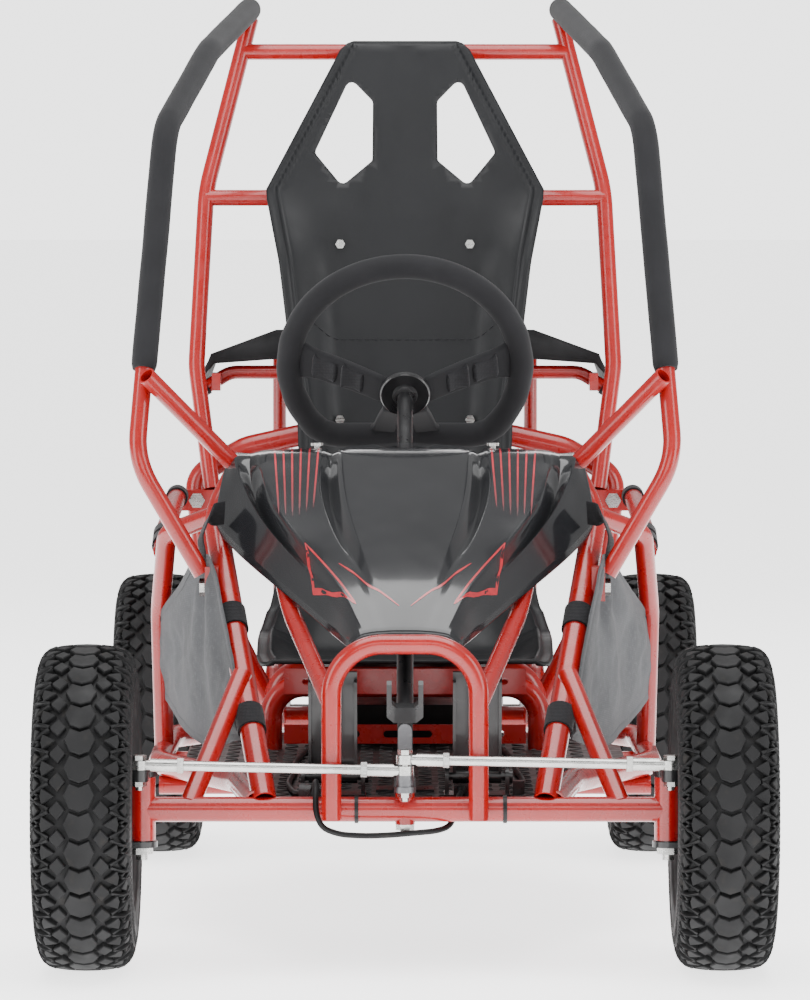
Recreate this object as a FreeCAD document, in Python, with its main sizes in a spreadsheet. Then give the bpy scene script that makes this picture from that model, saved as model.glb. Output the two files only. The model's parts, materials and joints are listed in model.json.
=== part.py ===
import FreeCAD, Part
import math
import os

import Sketcher
from FreeCAD import Placement, Rotation, Vector

# Children's off-road go-kart: welded tube frame with a bolted cage, kingpin steering,
# a live rear axle driven by an electric motor and chain, and one disc brake.
# Millimetres. X is across the kart, +Z is up and the kart faces -Y. Sub-parts are drawn
# with Y = 0 at the front axle ("back" is the distance behind it) and then placed so that
# the origin lies on the ground half way between the two axles.

doc = FreeCAD.newDocument("kart")

# ---------------------------------------------------------------- driving dimensions
DIMENSIONS = {
    "wheelbase": 1050.0,
    "tyre_radius": 165.0,
    "tyre_width": 100.0,
    "tyre_wall": 7.0,
    "bead_radius": 76.0,
    "rim_width": 84.0,
    "rim_wall": 2.5,
    "front_track": 642.0,
    "rear_track": 582.0,
    "kingpin_across": 266.0,
    "kingpin_radius": 6.0,
    "sleeve_radius": 14.0,
    "sleeve_bottom": 132.0,
    "sleeve_top": 196.0,
    "steering_arm": 56.0,
    "rod_bolt_radius": 4.0,
    "rod_eye_height": 213.5,
    "rod_eye_split": 11.0,
    "running_gap": 0.1,
    "beam_height": 163.0,
    "main_tube": 25.4,
    "slim_tube": 19.0,
    "tube_wall": 1.8,
    "foam_tube": 27.5,
    "spindle_radius": 7.5,
    "rear_axle_radius": 10.0,
    "column_radius": 8.5,
    "column_foot_back": 13.1,
    "column_foot_height": 258.9,
    "column_hub_back": 520.0,
    "column_hub_height": 562.0,
    "wheel_dish": 60.0,
    "grip_radius": 14.0,
    "grip_ring_radius": 128.0,
    "grip_flat": 92.0,
    "pan_height": 163.0,
    "pan_sheet": 2.5,
    "seat_sheet": 6.0,
    "fairing_sheet": 3.0,
    "drive_across": 95.0,
    "sprocket_teeth": 54.0,
    "pinion_teeth": 11.0,
    "chain_pitch": 8.0,
    "motor_back": 925.0,
    "motor_height": 188.0,
    "motor_radius": 46.0,
    "motor_length": 108.0,
    "disc_radius": 70.0,
    "pedal_pivot_back": 104.0,
    "pedal_pivot_height": 186.0,
    "pedal_length": 112.0,
    "pedal_across": 74.0,
    "cable_radius": 3.0,
}

sheet = doc.addObject("Spreadsheet::Sheet", "Size")
for row, (alias, value) in enumerate(DIMENSIONS.items(), start=1):
    sheet.set(f"A{row}", alias)
    sheet.set(f"B{row}", str(value))
    sheet.setAlias(f"B{row}", alias)
doc.recompute()


def size(alias):
    """One driving dimension, read from the sheet."""
    return float(sheet.get(alias))


HALF_WHEELBASE = size("wheelbase") / 2
AXLE_HEIGHT = size("tyre_radius")
KART_PLACE = Placement(Vector(0, -HALF_WHEELBASE, 0), Rotation())
MAIN = size("main_tube") / 2
SLIM = size("slim_tube") / 2
X_AXIS = Vector(1, 0, 0)
Y_AXIS = Vector(0, 1, 0)
Z_AXIS = Vector(0, 0, 1)
SIDES = {"left": -1, "right": 1}

subparts = []


# ---------------------------------------------------------------- helpers: shapes
def keep(label, shape, placement=KART_PLACE):
    """A finished sub-part whose form comes from Part's own functions. A moved solid goes
    in a compound, so that the sub-part's own placement doesn't replace the solid's."""
    item = doc.addObject("Part::Feature", label)
    item.Label = label
    item.Shape = shape if shape.Placement.isIdentity() else Part.makeCompound([shape])
    item.Placement = placement
    subparts.append(item)
    return item


def keep_object(label, item, placement):
    """A finished sub-part that is already a parametric object."""
    item.Label = label
    item.Placement = placement
    subparts.append(item)
    return item


def unit(vector):
    return Vector(vector).normalize()


def tangent_path(points, radii):
    """Straight runs joined by tangent arcs, one radius for each inner point."""
    edges = []
    run_start = points[0]
    for index, radius in enumerate(radii, start=1):
        corner = points[index]
        arriving = unit(corner - points[index - 1])
        leaving = unit(points[index + 1] - corner)
        half_turn = arriving.getAngle(leaving) / 2
        reach = radius * math.tan(half_turn)
        arc_start = corner - arriving * reach
        arc_end = corner + leaving * reach
        to_middle = unit(leaving - arriving) * (radius / math.cos(half_turn) - radius)
        edges.append(Part.makeLine(run_start, arc_start))
        edges.append(Part.Arc(arc_start, corner + to_middle, arc_end).toShape())
        run_start = arc_end
    edges.append(Part.makeLine(run_start, points[-1]))
    return Part.Wire(edges)


def rod(points, radii, radius):
    """A solid round bar along a tangent path."""
    path = tangent_path(points, radii)
    ring = Part.Wire([Part.makeCircle(radius, points[0], points[1] - points[0])])
    bar = path.makePipeShell([ring], True, False)
    wanted = math.pi * radius ** 2 * path.Length
    if abs(bar.Volume - wanted) > 0.01 * wanted:
        raise RuntimeError("a bent bar has the wrong volume")
    return bar


class Tube:
    """A bent round tube: its solid envelope for coping, and its hollow shape."""

    def __init__(self, points, radii=(), radius=MAIN):
        self.ends = [points[0], points[-1]]
        self.envelope = rod(points, radii, radius)
        bore = rod(points, radii, radius - size("tube_wall"))
        self.shape = self.envelope.cut(bore)

    def coped(self, *others):
        """The tube cut back to the surfaces of the tubes it is welded to."""
        shape = self.shape
        for other in others:
            shape = shape.cut(other.envelope if isinstance(other, Tube) else other)
        return largest(shape)


def largest(shape):
    return max(shape.Solids, key=lambda solid: solid.Volume)


def both_sides(make):
    """The pieces made for the left and the right side, in one list."""
    return [make(side) for side in SIDES.values()]


def group(shapes):
    """Separate solids that share one node."""
    solids = []
    for shape in shapes:
        solids.extend(shape.Solids)
    return solids[0] if len(solids) == 1 else Part.makeCompound(solids)


def fuse(first, *others):
    shape = first.multiFuse(list(others)) if others else first
    return shape.removeSplitter()


def post(radius, bottom, top, across=0.0, back=0.0):
    """An upright cylinder."""
    return Part.makeCylinder(radius, top - bottom, Vector(across, back, bottom), Z_AXIS)


def across_rod(radius, start, end, back, height):
    """A cylinder that lies across the kart."""
    return Part.makeCylinder(radius, end - start, Vector(start, back, height), X_AXIS)


def block(low, high):
    low = Vector(*low)
    edge = Vector(*high) - low
    return Part.makeBox(edge.x, edge.y, edge.z, low)


def hexagon(flats, thickness, centre, axis=Z_AXIS):
    """A hexagonal nut or bolt head that starts at centre and grows along axis."""
    corner = flats / math.sqrt(3)
    ring = [Vector(corner * math.cos(turn * math.pi / 3), corner * math.sin(turn * math.pi / 3), 0)
            for turn in range(7)]
    head = Part.Face(Part.makePolygon(ring)).extrude(Vector(0, 0, thickness))
    head.Placement = Placement(centre, Rotation(Z_AXIS, axis))
    return head


def bolt(radius, grip, centre, axis=Z_AXIS, nut=True):
    """A hex bolt: head on centre, shank against axis through the grip, and its nut."""
    axis = unit(axis)
    flats = radius * 3.25
    height = radius * 1.2
    spare = radius if nut else 0.0
    shank = Part.makeCylinder(radius, grip + height + spare + 1, centre + axis, axis * -1)
    head = hexagon(flats, height, centre, axis)
    pieces = [head, shank]
    if nut:
        pieces.append(hexagon(flats, height, centre - axis * (grip + height), axis))
    return fuse(*pieces)


def at(side, across, back, up):
    """A point, given on the right side and mirrored for the left."""
    return Vector(side * across, back, up)


def plate(points, thickness, plane="XY", start=0.0):
    """A flat plate: an outline in a plane, thickened along the plane's normal."""
    lift = {
        "XY": lambda a, b: Vector(a, b, start),
        "XZ": lambda a, b: Vector(a, start, b),
        "YZ": lambda a, b: Vector(start, a, b),
    }[plane]
    normal = {"XY": Z_AXIS, "XZ": Y_AXIS, "YZ": X_AXIS}[plane]
    outline = [lift(a, b) for a, b in points]
    return Part.Face(Part.makePolygon(outline + outline[:1])).extrude(normal * thickness)


def mirrored(points):
    """A right-hand half outline and its mirror image, as one closed outline."""
    return points + [(-a, b) for a, b in reversed(points)]


# ---------------------------------------------------------------- helpers: PartDesign
def sketch_on(body, role, outline):
    """A closed sketch on an origin plane. Each entry is (x, y) or, for an arc that ends
    there, (x, y, radius, turn) with turn +1 or -1; every value is an expression."""
    sketch = body.newObject("Sketcher::SketchObject", body.Name + "_outline")
    plane = [item for item in body.Origin.OriginFeatures if item.Role == role][0]
    sketch.AttachmentSupport = [(plane, "")]
    sketch.MapMode = "FlatFace"
    corners = [Vector(sheet.evalExpression(e[0]), sheet.evalExpression(e[1]), 0) for e in outline]
    count = len(outline)
    last_points = []
    for index in range(count):
        start = corners[index]
        entry = outline[(index + 1) % count]
        end = corners[(index + 1) % count]
        if len(entry) == 2:
            sketch.addGeometry(Part.LineSegment(start, end))
            last_points.append((1, 2))
            continue
        radius = sheet.evalExpression(entry[2])
        chord = end - start
        rise = math.sqrt(max(radius ** 2 - (chord.Length / 2) ** 2, 0))
        normal = Vector(-chord.y, chord.x, 0).normalize()
        centre = (start + end) / 2 + normal * (rise * entry[3])
        first, second = (start, end) if entry[3] > 0 else (end, start)
        circle = Part.Circle(centre, Z_AXIS, radius)
        begin = math.atan2(first.y - centre.y, first.x - centre.x)
        finish = math.atan2(second.y - centre.y, second.x - centre.x)
        sketch.addGeometry(Part.ArcOfCircle(circle, begin, finish))
        last_points.append((1, 2) if entry[3] > 0 else (2, 1))
    for index in range(count):
        after = (index + 1) % count
        sketch.addConstraint(Sketcher.Constraint(
            "Coincident", index, last_points[index][1], after, last_points[after][0]))
    for index, entry in enumerate(outline):
        vertex = last_points[index][0]
        for kind, value, text in (("DistanceX", corners[index].x, entry[0]),
                                  ("DistanceY", corners[index].y, entry[1])):
            number = sketch.addConstraint(Sketcher.Constraint(kind, -1, 1, index, vertex, value))
            sketch.setExpression(f"Constraints[{number}]", text)
        if len(entry) > 2:
            arc = (index - 1) % count
            radius = sheet.evalExpression(entry[2])
            number = sketch.addConstraint(Sketcher.Constraint("Radius", arc, radius))
            sketch.setExpression(f"Constraints[{number}]", entry[2])
    return sketch


def turned_body(label, outline):
    """A PartDesign body: an outline of (along the axis, radius) turned about X."""
    body = doc.addObject("PartDesign::Body", label + "_body")
    sketch = sketch_on(body, "XY_Plane", outline)
    turned = body.newObject("PartDesign::Revolution", label + "_turned")
    turned.Profile = sketch
    turned.ReferenceAxis = (sketch, ["H_Axis"])
    turned.Angle = 360
    body.Tip = turned
    return body


def padded_body(label, role, outline, length):
    """A PartDesign body: an outline padded by an expression."""
    body = doc.addObject("PartDesign::Body", label + "_body")
    sketch = sketch_on(body, role, outline)
    pad = body.newObject("PartDesign::Pad", label + "_pad")
    pad.Profile = sketch
    pad.setExpression("Length", length)
    body.Tip = pad
    return body


# ---------------------------------------------------------------- wheels
def wheel_place(across, back):
    return Placement(Vector(across, back - HALF_WHEELBASE, AXLE_HEIGHT), Rotation())


def make_tyre(label, place):
    """A hollow tyre section: beads on the rim, bulged sidewalls and a crowned tread."""
    half = "Size.tyre_width/2"
    tread = "Size.tyre_radius"
    inner = "Size.tyre_radius - 2*Size.tyre_wall"
    bead = "Size.bead_radius + 0.2"
    outline = [
        ("-Size.rim_width/2 + 3.4", bead),
        ("-Size.rim_width/2 + 3.4", bead + " + 8.4"),
        ("-" + half + " + 3", tread + " - 26", "58", -1),
        ("-" + half + " + 16", tread + " - 3"),
        (half + " - 16", tread + " - 3", "220", -1),
        (half + " - 3", tread + " - 26"),
        ("Size.rim_width/2 - 3.4", bead + " + 8.4", "58", -1),
        ("Size.rim_width/2 - 3.4", bead),
        ("Size.rim_width/2 - 13", bead),
        (half + " - 5 - Size.tyre_wall", inner + " - 13", "62", 1),
        ("-" + half + " + 5 + Size.tyre_wall", inner + " - 13", "60", 1),
        ("-Size.rim_width/2 + 13", bead, "62", 1),
    ]
    return keep_object(label, turned_body(label, outline), place)


def make_rim(label, place, bore, hub_reach, seat):
    """A turned rim: flanges, well, disc and hub. The hub's ends open out to seat."""
    edge = "Size.rim_width/2"
    lip = "Size.bead_radius + 8"
    base = "Size.bead_radius"
    wall = "Size.rim_wall"
    outline = [
        ("-" + edge, lip),
        ("-" + edge + " + 3", lip),
        ("-" + edge + " + 3", base),
        ("-16", base + " - 2"),
        ("-11", base + " - 10"),
        ("11", base + " - 10"),
        ("16", base + " - 2"),
        (edge + " - 3", base),
        (edge + " - 3", lip),
        (edge, lip),
        (edge, base + " - " + wall),
        ("17", base + " - 2 - " + wall),
        ("12", base + " - 10 - " + wall),
        ("3", base + " - 10 - " + wall),
        ("3", "25"),
        (hub_reach, "25"),
        (hub_reach, seat),
        (hub_reach + " - 11", seat),
        (hub_reach + " - 11", bore),
        ("-" + hub_reach + " + 11", bore),
        ("-" + hub_reach + " + 11", seat),
        ("-" + hub_reach, seat),
        ("-" + hub_reach, "25"),
        ("-3", "25"),
        ("-3", base + " - 10 - " + wall),
        ("-12", base + " - 10 - " + wall),
        ("-17", base + " - 2 - " + wall),
        ("-" + edge, base + " - " + wall),
    ]
    return keep_object(label, turned_body(label, outline), place)


for name, side in SIDES.items():
    front = wheel_place(side * size("front_track") / 2, 0)
    rear = wheel_place(side * size("rear_track") / 2, size("wheelbase"))
    make_tyre(name + "_front_tyre", front)
    make_rim(name + "_front_rim", front, "10", "30", "17.5")
    make_tyre(name + "_rear_tyre", rear)
    make_rim(name + "_rear_rim", rear, "Size.rear_axle_radius + 0.02", "30", "Size.rear_axle_radius + 2")

# ---------------------------------------------------------------- front axle and steering
HUB_REACH = 30.0
BEARING_SEAT = 17.5
KINGPIN = size("kingpin_across")
SLEEVE_BOTTOM = size("sleeve_bottom")
SLEEVE_TOP = size("sleeve_top")
BEAM = size("beam_height")
ARM = size("steering_arm")
GAP = size("running_gap")
EYE = size("rod_eye_height")
SPLIT = size("rod_eye_split") / 2
LUG_RADIUS = 10.0
LUG_TOP = 184.0
LUG_BOTTOM = 148.0
PIVOT_RADIUS = 5.0

beam_tube = Tube([Vector(-KINGPIN, 0, BEAM), Vector(KINGPIN, 0, BEAM)])
sleeve_posts = both_sides(
    lambda side: post(size("sleeve_radius"), SLEEVE_BOTTOM, SLEEVE_TOP, side * KINGPIN))
lug_post = post(LUG_RADIUS, LUG_BOTTOM, LUG_TOP)
beam_shape = fuse(beam_tube.coped(*sleeve_posts), lug_post, *sleeve_posts)
for side in SIDES.values():
    kingpin_hole = size("kingpin_radius") + GAP
    beam_shape = beam_shape.cut(post(kingpin_hole, SLEEVE_BOTTOM, SLEEVE_TOP, side * KINGPIN))
beam_shape = beam_shape.cut(post(PIVOT_RADIUS + GAP, LUG_BOTTOM, LUG_TOP))
keep("front_axle_beam", largest(beam_shape))
BEAM_SOLID = fuse(beam_tube.envelope.cut(sleeve_posts[0]).cut(sleeve_posts[1]), lug_post, *sleeve_posts)

PITMAN_BOTTOM = LUG_TOP + 2
PITMAN_TOP = PITMAN_BOTTOM + 6
pivot = bolt(PIVOT_RADIUS, PITMAN_TOP + 0.6 - LUG_BOTTOM, Vector(0, 0, PITMAN_TOP + 0.6))
washer = post(9, LUG_TOP, PITMAN_BOTTOM - 0.3).cut(post(PIVOT_RADIUS, LUG_TOP, PITMAN_BOTTOM))
frame_bolts = [pivot, washer]

# The pitman arm: a bar over the beam, a boss for the rod ends and the tongue that the
# column's fork straddles.
TONGUE_BACK = 27.0
TONGUE_HALF = 7.0
TONGUE_TOP = 247.0
arm_bar = fuse(block((-11, -ARM, PITMAN_BOTTOM), (11, TONGUE_BACK + 4, PITMAN_TOP)),
               post(11, PITMAN_BOTTOM, PITMAN_TOP, 0, -ARM))
arm_boss = post(9, PITMAN_TOP, EYE - SPLIT - 4.5, 0, -ARM)
tongue = block((-TONGUE_HALF, TONGUE_BACK - 3, PITMAN_TOP),
               (TONGUE_HALF, TONGUE_BACK + 3, TONGUE_TOP - TONGUE_HALF))
tongue_cap = Part.makeCylinder(TONGUE_HALF, 6, Vector(0, TONGUE_BACK - 3, TONGUE_TOP - TONGUE_HALF), Y_AXIS)
pitman = fuse(arm_bar, arm_boss, tongue, tongue_cap)
pitman = pitman.cut(post(PIVOT_RADIUS + GAP, PITMAN_BOTTOM, PITMAN_TOP))
pitman = pitman.cut(post(size("rod_bolt_radius"), PITMAN_BOTTOM, EYE, 0, -ARM))
keep("pitman_arm", largest(pitman))
EYE_HALF = 4.5
stack_top = EYE + SPLIT + EYE_HALF + 0.5
rod_bolt = bolt(size("rod_bolt_radius"), stack_top - PITMAN_BOTTOM, Vector(0, -ARM, stack_top))
keep("rod_end_centre_bolt", rod_bolt)


def make_tie_rod(name, side, inner_height):
    """A threaded rod with a jam nut and a rod end at each end, between two upright bolts."""
    inner = Vector(0, -ARM, inner_height)
    outer = Vector(side * KINGPIN, -ARM, EYE)
    along = unit(outer - inner)
    length = (outer - inner).Length
    eyes = []
    shanks = []
    for start, way in ((inner, along), (outer, along * -1)):
        eye = post(9.0, start.z - EYE_HALF, start.z + EYE_HALF, start.x, start.y)
        shank = Part.makeCylinder(6.5, 38, start, way)
        hole = post(size("rod_bolt_radius") + 2 * GAP, start.z - 20, start.z + 20, start.x, start.y)
        flat = block((start.x - 12, start.y - 12, start.z - EYE_HALF),
                     (start.x + 12, start.y + 12, start.z + EYE_HALF))
        near = post(12, start.z - 20, start.z + 20, start.x, start.y)
        trimmed = fuse(shank.cut(near), shank.common(flat))
        eyes.append(largest(fuse(eye, trimmed).cut(hole)))
        shanks.append(hexagon(13, 6, start + way * 38.2, way))
    bar = Part.makeCylinder(5.0, length - 2 * 44.4, inner + along * 44.4, along)
    keep(name + "_tie_rod", group([bar] + eyes + shanks))


make_tie_rod("left", -1, EYE - SPLIT)
make_tie_rod("right", 1, EYE + SPLIT)

TOP_PLATE = (SLEEVE_TOP + 1, SLEEVE_TOP + 7)
BOTTOM_PLATE = (SLEEVE_BOTTOM - 7, SLEEVE_BOTTOM - 1)
SPINDLE_END = size("front_track") / 2 + 44


def make_knuckle(name, side):
    """C-bracket round the sleeve, spindle, and an arm that reaches forward to the rod end."""
    def slab(low, high):
        x_pair = sorted((side * low[0], side * high[0]))
        return block((x_pair[0], low[1], low[2]), (x_pair[1], high[1], high[2]))

    back_plate = slab((KINGPIN + 15, -16, BOTTOM_PLATE[0]), (KINGPIN + 21, 16, TOP_PLATE[1]))
    top = fuse(slab((KINGPIN, -16, TOP_PLATE[0]), (KINGPIN + 15, 16, TOP_PLATE[1])),
               post(16, TOP_PLATE[0], TOP_PLATE[1], side * KINGPIN))
    bottom = fuse(slab((KINGPIN, -16, BOTTOM_PLATE[0]), (KINGPIN + 15, 16, BOTTOM_PLATE[1])),
                  post(16, BOTTOM_PLATE[0], BOTTOM_PLATE[1], side * KINGPIN))
    arm = fuse(slab((KINGPIN - 9, -ARM, TOP_PLATE[0]), (KINGPIN + 9, 0, TOP_PLATE[1])),
               post(9, TOP_PLATE[0], EYE - EYE_HALF - 0.5, side * KINGPIN, -ARM))
    ends = sorted((side * (KINGPIN + 21), side * SPINDLE_END))
    spindle = across_rod(size("spindle_radius"), ends[0], ends[1], 0, AXLE_HEIGHT)
    shoulder_ends = sorted((side * (KINGPIN + 21), side * (size("front_track") / 2 - 30.5)))
    shoulder = across_rod(11, shoulder_ends[0], shoulder_ends[1], 0, AXLE_HEIGHT)
    shape = fuse(back_plate, top, bottom, arm, spindle, shoulder)
    shape = shape.cut(post(size("kingpin_radius"), 100, 240, side * KINGPIN))
    shape = shape.cut(post(size("rod_bolt_radius"), 190, 240, side * KINGPIN, -ARM))
    keep(name + "_knuckle", largest(shape))

    grip = TOP_PLATE[1] - BOTTOM_PLATE[0]
    kingpin = bolt(size("kingpin_radius"), grip, Vector(side * KINGPIN, 0, TOP_PLATE[1]))
    eye_top = EYE + EYE_HALF + 0.5
    rod_pin = bolt(size("rod_bolt_radius"), eye_top - TOP_PLATE[0], Vector(side * KINGPIN, -ARM, eye_top))
    nut_start = Vector(side * (size("front_track") / 2 + 30.6), 0, AXLE_HEIGHT)
    spindle_nut = hexagon(22, 9, nut_start, X_AXIS * side)
    spindle_nut = spindle_nut.cut(across_rod(size("spindle_radius"), -400, 400, 0, AXLE_HEIGHT))
    bearings = []
    for start in (-HUB_REACH + 0.2, HUB_REACH - 11 + 0.2):
        low = side * size("front_track") / 2 + start
        ring = across_rod(BEARING_SEAT - GAP / 2, low, low + 10.6, 0, AXLE_HEIGHT)
        bearings.append(ring.cut(across_rod(size("spindle_radius"), -400, 400, 0, AXLE_HEIGHT)))
    keep(name + "_knuckle_hardware", group([kingpin, rod_pin, spindle_nut] + bearings))


for name, side in SIDES.items():
    make_knuckle(name, side)

# ---------------------------------------------------------------- steering column and wheel
COLUMN_FOOT = Vector(0, size("column_foot_back"), size("column_foot_height"))
COLUMN_HUB = Vector(0, size("column_hub_back"), size("column_hub_height"))
COLUMN_WAY = unit(COLUMN_HUB - COLUMN_FOOT)
COLUMN_DOWN = unit(Vector(0, COLUMN_WAY.z, -COLUMN_WAY.y))
COLUMN_LENGTH = (COLUMN_HUB - COLUMN_FOOT).Length
COLUMN_PLACE = Placement(COLUMN_FOOT, Rotation(X_AXIS, COLUMN_DOWN * -1, COLUMN_WAY, "ZXY"))


def on_column(shape):
    """Moves a shape from column axes (X across, Y up the wheel, Z along the shaft)."""
    moved = shape.copy()
    moved.Placement = COLUMN_PLACE.multiply(moved.Placement)
    return moved


def make_column():
    """A round shaft with a forked plate at its foot whose tines straddle the tongue."""
    shaft = Part.makeCylinder(size("column_radius"), COLUMN_LENGTH - 4, Vector(0, 0, 4), Z_AXIS)
    tine_outer, tine_inner, tine_end = 18.5, 13.5, 38.0
    top = 9.0
    outline = [(tine_inner, -tine_end), (tine_outer, -tine_end), (tine_outer, top - 7),
               (tine_outer - 7, top), (0, top)]
    inner = [(0, -10), (9, -10), (tine_inner, -14)]
    half = [outline[0]] + outline[1:]
    outside = half + [(-a, b) for a, b in reversed(half)][1:]
    closed = outside + [(-a, b) for a, b in reversed(inner)] + inner[1:]
    fork = Part.Face(Part.makePolygon([Vector(a, b, 0) for a, b in closed + closed[:1]]))
    fork = fork.extrude(Vector(0, 0, 8))
    fork.Placement = Placement(Vector(0, 0, -4), Rotation())
    keep("steering_column", largest(on_column(fuse(shaft, fork))))


make_column()


def grip_path():
    """The centre line of a D-shaped steering wheel: round above, flat below."""
    ring = size("grip_ring_radius")
    flat = size("grip_flat")
    corner = 40.0
    # The corner arc touches the ring from inside and the flat from above.
    across = math.sqrt((ring - corner) ** 2 - (flat - corner) ** 2)
    centre = Vector(across, corner - flat, 0)
    touch = centre + unit(centre) * corner
    low = Vector(across, -flat, 0)
    middle = centre + unit(unit(centre) + Vector(0, -1, 0)) * corner
    top = Vector(0, ring, 0)
    flip = lambda point: Vector(-point.x, point.y, 0)
    return Part.Wire([
        Part.Arc(touch, top, flip(touch)).toShape(),
        Part.Arc(flip(touch), flip(middle), flip(low)).toShape(),
        Part.makeLine(flip(low), low),
        Part.Arc(low, middle, touch).toShape(),
    ])


def make_steering_wheel():
    path = grip_path()
    radius = size("grip_radius")
    first = path.Edges[0]
    start = first.valueAt(first.FirstParameter)
    way = first.tangentAt(first.FirstParameter)
    lift = Vector(0, 0, COLUMN_LENGTH + size("wheel_dish"))

    def ring(section):
        circle = Part.Wire([Part.makeCircle(section, start, way)])
        shell = path.makePipeShell([circle], True, False)
        shell.Placement = Placement(lift, Rotation())
        return shell

    wire_radius = 5.0
    core_ring = ring(wire_radius)
    grip = ring(radius).cut(ring(wire_radius))
    hub = Part.makeCylinder(26.5, 5, Vector(0, 0, COLUMN_LENGTH), Z_AXIS)
    spokes = []
    ends = [Vector(size("grip_ring_radius") - 6, 10, 0), Vector(-size("grip_ring_radius") + 6, 10, 0),
            Vector(0, -size("grip_flat") + 4, 0)]
    for end, width in zip(ends, (34.0, 34.0, 58.0)):
        low = Vector(0, 0, COLUMN_LENGTH + 2.5)
        high = end + lift
        inner = low + unit(Vector(end.x, end.y, 0)) * 22
        span = high - inner
        side_way = unit(span.cross(Z_AXIS)) * (width / 2)
        spoke = Part.Face(Part.makePolygon([
            inner - side_way * 0.8, inner + side_way * 0.8, high + side_way, high - side_way,
            inner - side_way * 0.8]))
        normal = unit(span.cross(side_way))
        spoke = spoke.extrude(normal * 4)
        mid = inner + span * 0.5
        slot = Part.makeCylinder(width * 0.2, 30, mid - normal * 15, normal)
        spokes.append(spoke.cut(slot))
    core = fuse(hub, core_ring, *spokes)
    bolts = []
    for turn in range(6):
        angle = math.radians(60 * turn + 30)
        spot = Vector(19 * math.cos(angle), 19 * math.sin(angle), COLUMN_LENGTH + 5)
        core = core.cut(Part.makeCylinder(2.5, 12, spot - Z_AXIS * 6, Z_AXIS))
        bolts.append(fuse(Part.makeCylinder(2.5, 6, spot - Z_AXIS * 5, Z_AXIS),
                          Part.makeCylinder(4.2, 3, spot, Z_AXIS)))
    keep("steering_wheel_core", largest(on_column(core)))
    keep("steering_wheel_grip", group([on_column(part) for part in grip.cut(fuse(hub, *spokes)).Solids]))
    keep("steering_wheel_bolts", group([on_column(part) for part in bolts]))


make_steering_wheel()


# ---------------------------------------------------------------- frame tubes
HOOP_FOOT = (142.0, 0.0, BEAM + 8)
HOOP_KINK = (203.0, 345.0, 440.0)
HOOP_CORNER = (178.0, 350.0, 490.0)
BUMPER_BACK = -36.0
BUMPER_ACROSS = 74.0
BUMPER_BOTTOM = 156.0
BUMPER_TOP = 333.0
RAIL_HEIGHT = 175.0
RAIL_REAR_HEIGHT = 225.0
RAIL_REAR_ACROSS = 150.0
REAR_END = size("wheelbase") + 95
LEG_TIP = (213.0, 256.0, 384.0)
LEG_ELBOW = (283.0, 262.0, 503.0)
CAGE_SHOULDER = (256.5, 400.0, 853.0)
CAGE_CREST = (218.0, 630.0, 939.0)
CAGE_REAR = (181.0, 1060.0, 999.0)
REAR_HOOP = [(223.0, 880.0, 440.0), (242.0, 915.0, 579.0), (232.0, 975.0, 784.0), (182.0, 1046.0, 985.0)]


def pair(points, radii=(), radius=MAIN):
    """The same tube on the left and on the right."""
    return {name: Tube([at(side, *point) for point in points], radii, radius) for name, side in SIDES.items()}


dash_points = [at(-1, *HOOP_FOOT), at(-1, *HOOP_KINK), at(-1, *HOOP_CORNER),
               at(1, *HOOP_CORNER), at(1, *HOOP_KINK), at(1, *HOOP_FOOT)]
dash_hoop = Tube(dash_points, (45, 22, 22, 45))
keep("dash_hoop", dash_hoop.coped(BEAM_SOLID))

BUMPER_CORNERS = [(-1, BUMPER_BOTTOM), (-1, BUMPER_TOP), (1, BUMPER_TOP), (1, BUMPER_BOTTOM)]
bumper = Tube([at(side, BUMPER_ACROSS, BUMPER_BACK, height) for side, height in BUMPER_CORNERS],
              (52, 52), SLIM + 0.5)
stays = []
for side in SIDES.values():
    stub = Tube([at(side, BUMPER_ACROSS, BUMPER_BACK, BEAM), at(side, BUMPER_ACROSS, 0, BEAM)], (), 7.0)
    stays.append(stub.coped(BEAM_SOLID, bumper))
keep("front_bumper", group([bumper.shape] + stays))

noses = pair([(BUMPER_ACROSS, BUMPER_BACK, 272.0), (120.0, 180.0, 352.0), (150.0, 346.0, 482.0)],
             (260,), SLIM)

diagonals = pair([(168.0, 134.0, 288.0), (218.0, 0.0, BEAM + 4)], (), SLIM + 1)
front_braces = [tube.coped(bumper, dash_hoop) for tube in noses.values()]
front_braces += [tube.coped(BEAM_SOLID, dash_hoop) for tube in diagonals.values()]
keep("front_braces", group(front_braces))

lower_rails = pair([(150.0, 0.0, RAIL_HEIGHT - 6), (172.0, 160.0, RAIL_HEIGHT), (262.0, 350.0, RAIL_HEIGHT),
                    (262.0, 640.0, RAIL_HEIGHT), (RAIL_REAR_ACROSS, 830.0, RAIL_HEIGHT),
                    (RAIL_REAR_ACROSS, 930.0, RAIL_REAR_HEIGHT),
                    (RAIL_REAR_ACROSS, REAR_END, RAIL_REAR_HEIGHT)],
                   (90, 90, 90, 60, 60))
keep("lower_rails", group([tube.coped(BEAM_SOLID, dash_hoop) for tube in lower_rails.values()]))

side_loops = pair([HOOP_KINK, (256.0, 400.0, 418.0), (266.0, 470.0, 330.0), (262.0, 470.0, RAIL_HEIGHT)],
                  (30, 40), SLIM + 1)
upper_rails = pair([(262.0, 440.0, 396.0), (264.0, 560.0, 412.0), (262.0, 872.0, 434.0)], (300,), SLIM + 1)
side_bars = []
for name in SIDES:
    side_bars.append(side_loops[name].coped(dash_hoop, lower_rails[name]))
    side_bars.append(upper_rails[name].coped(side_loops[name]))
keep("side_bars", group(side_bars))

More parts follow.
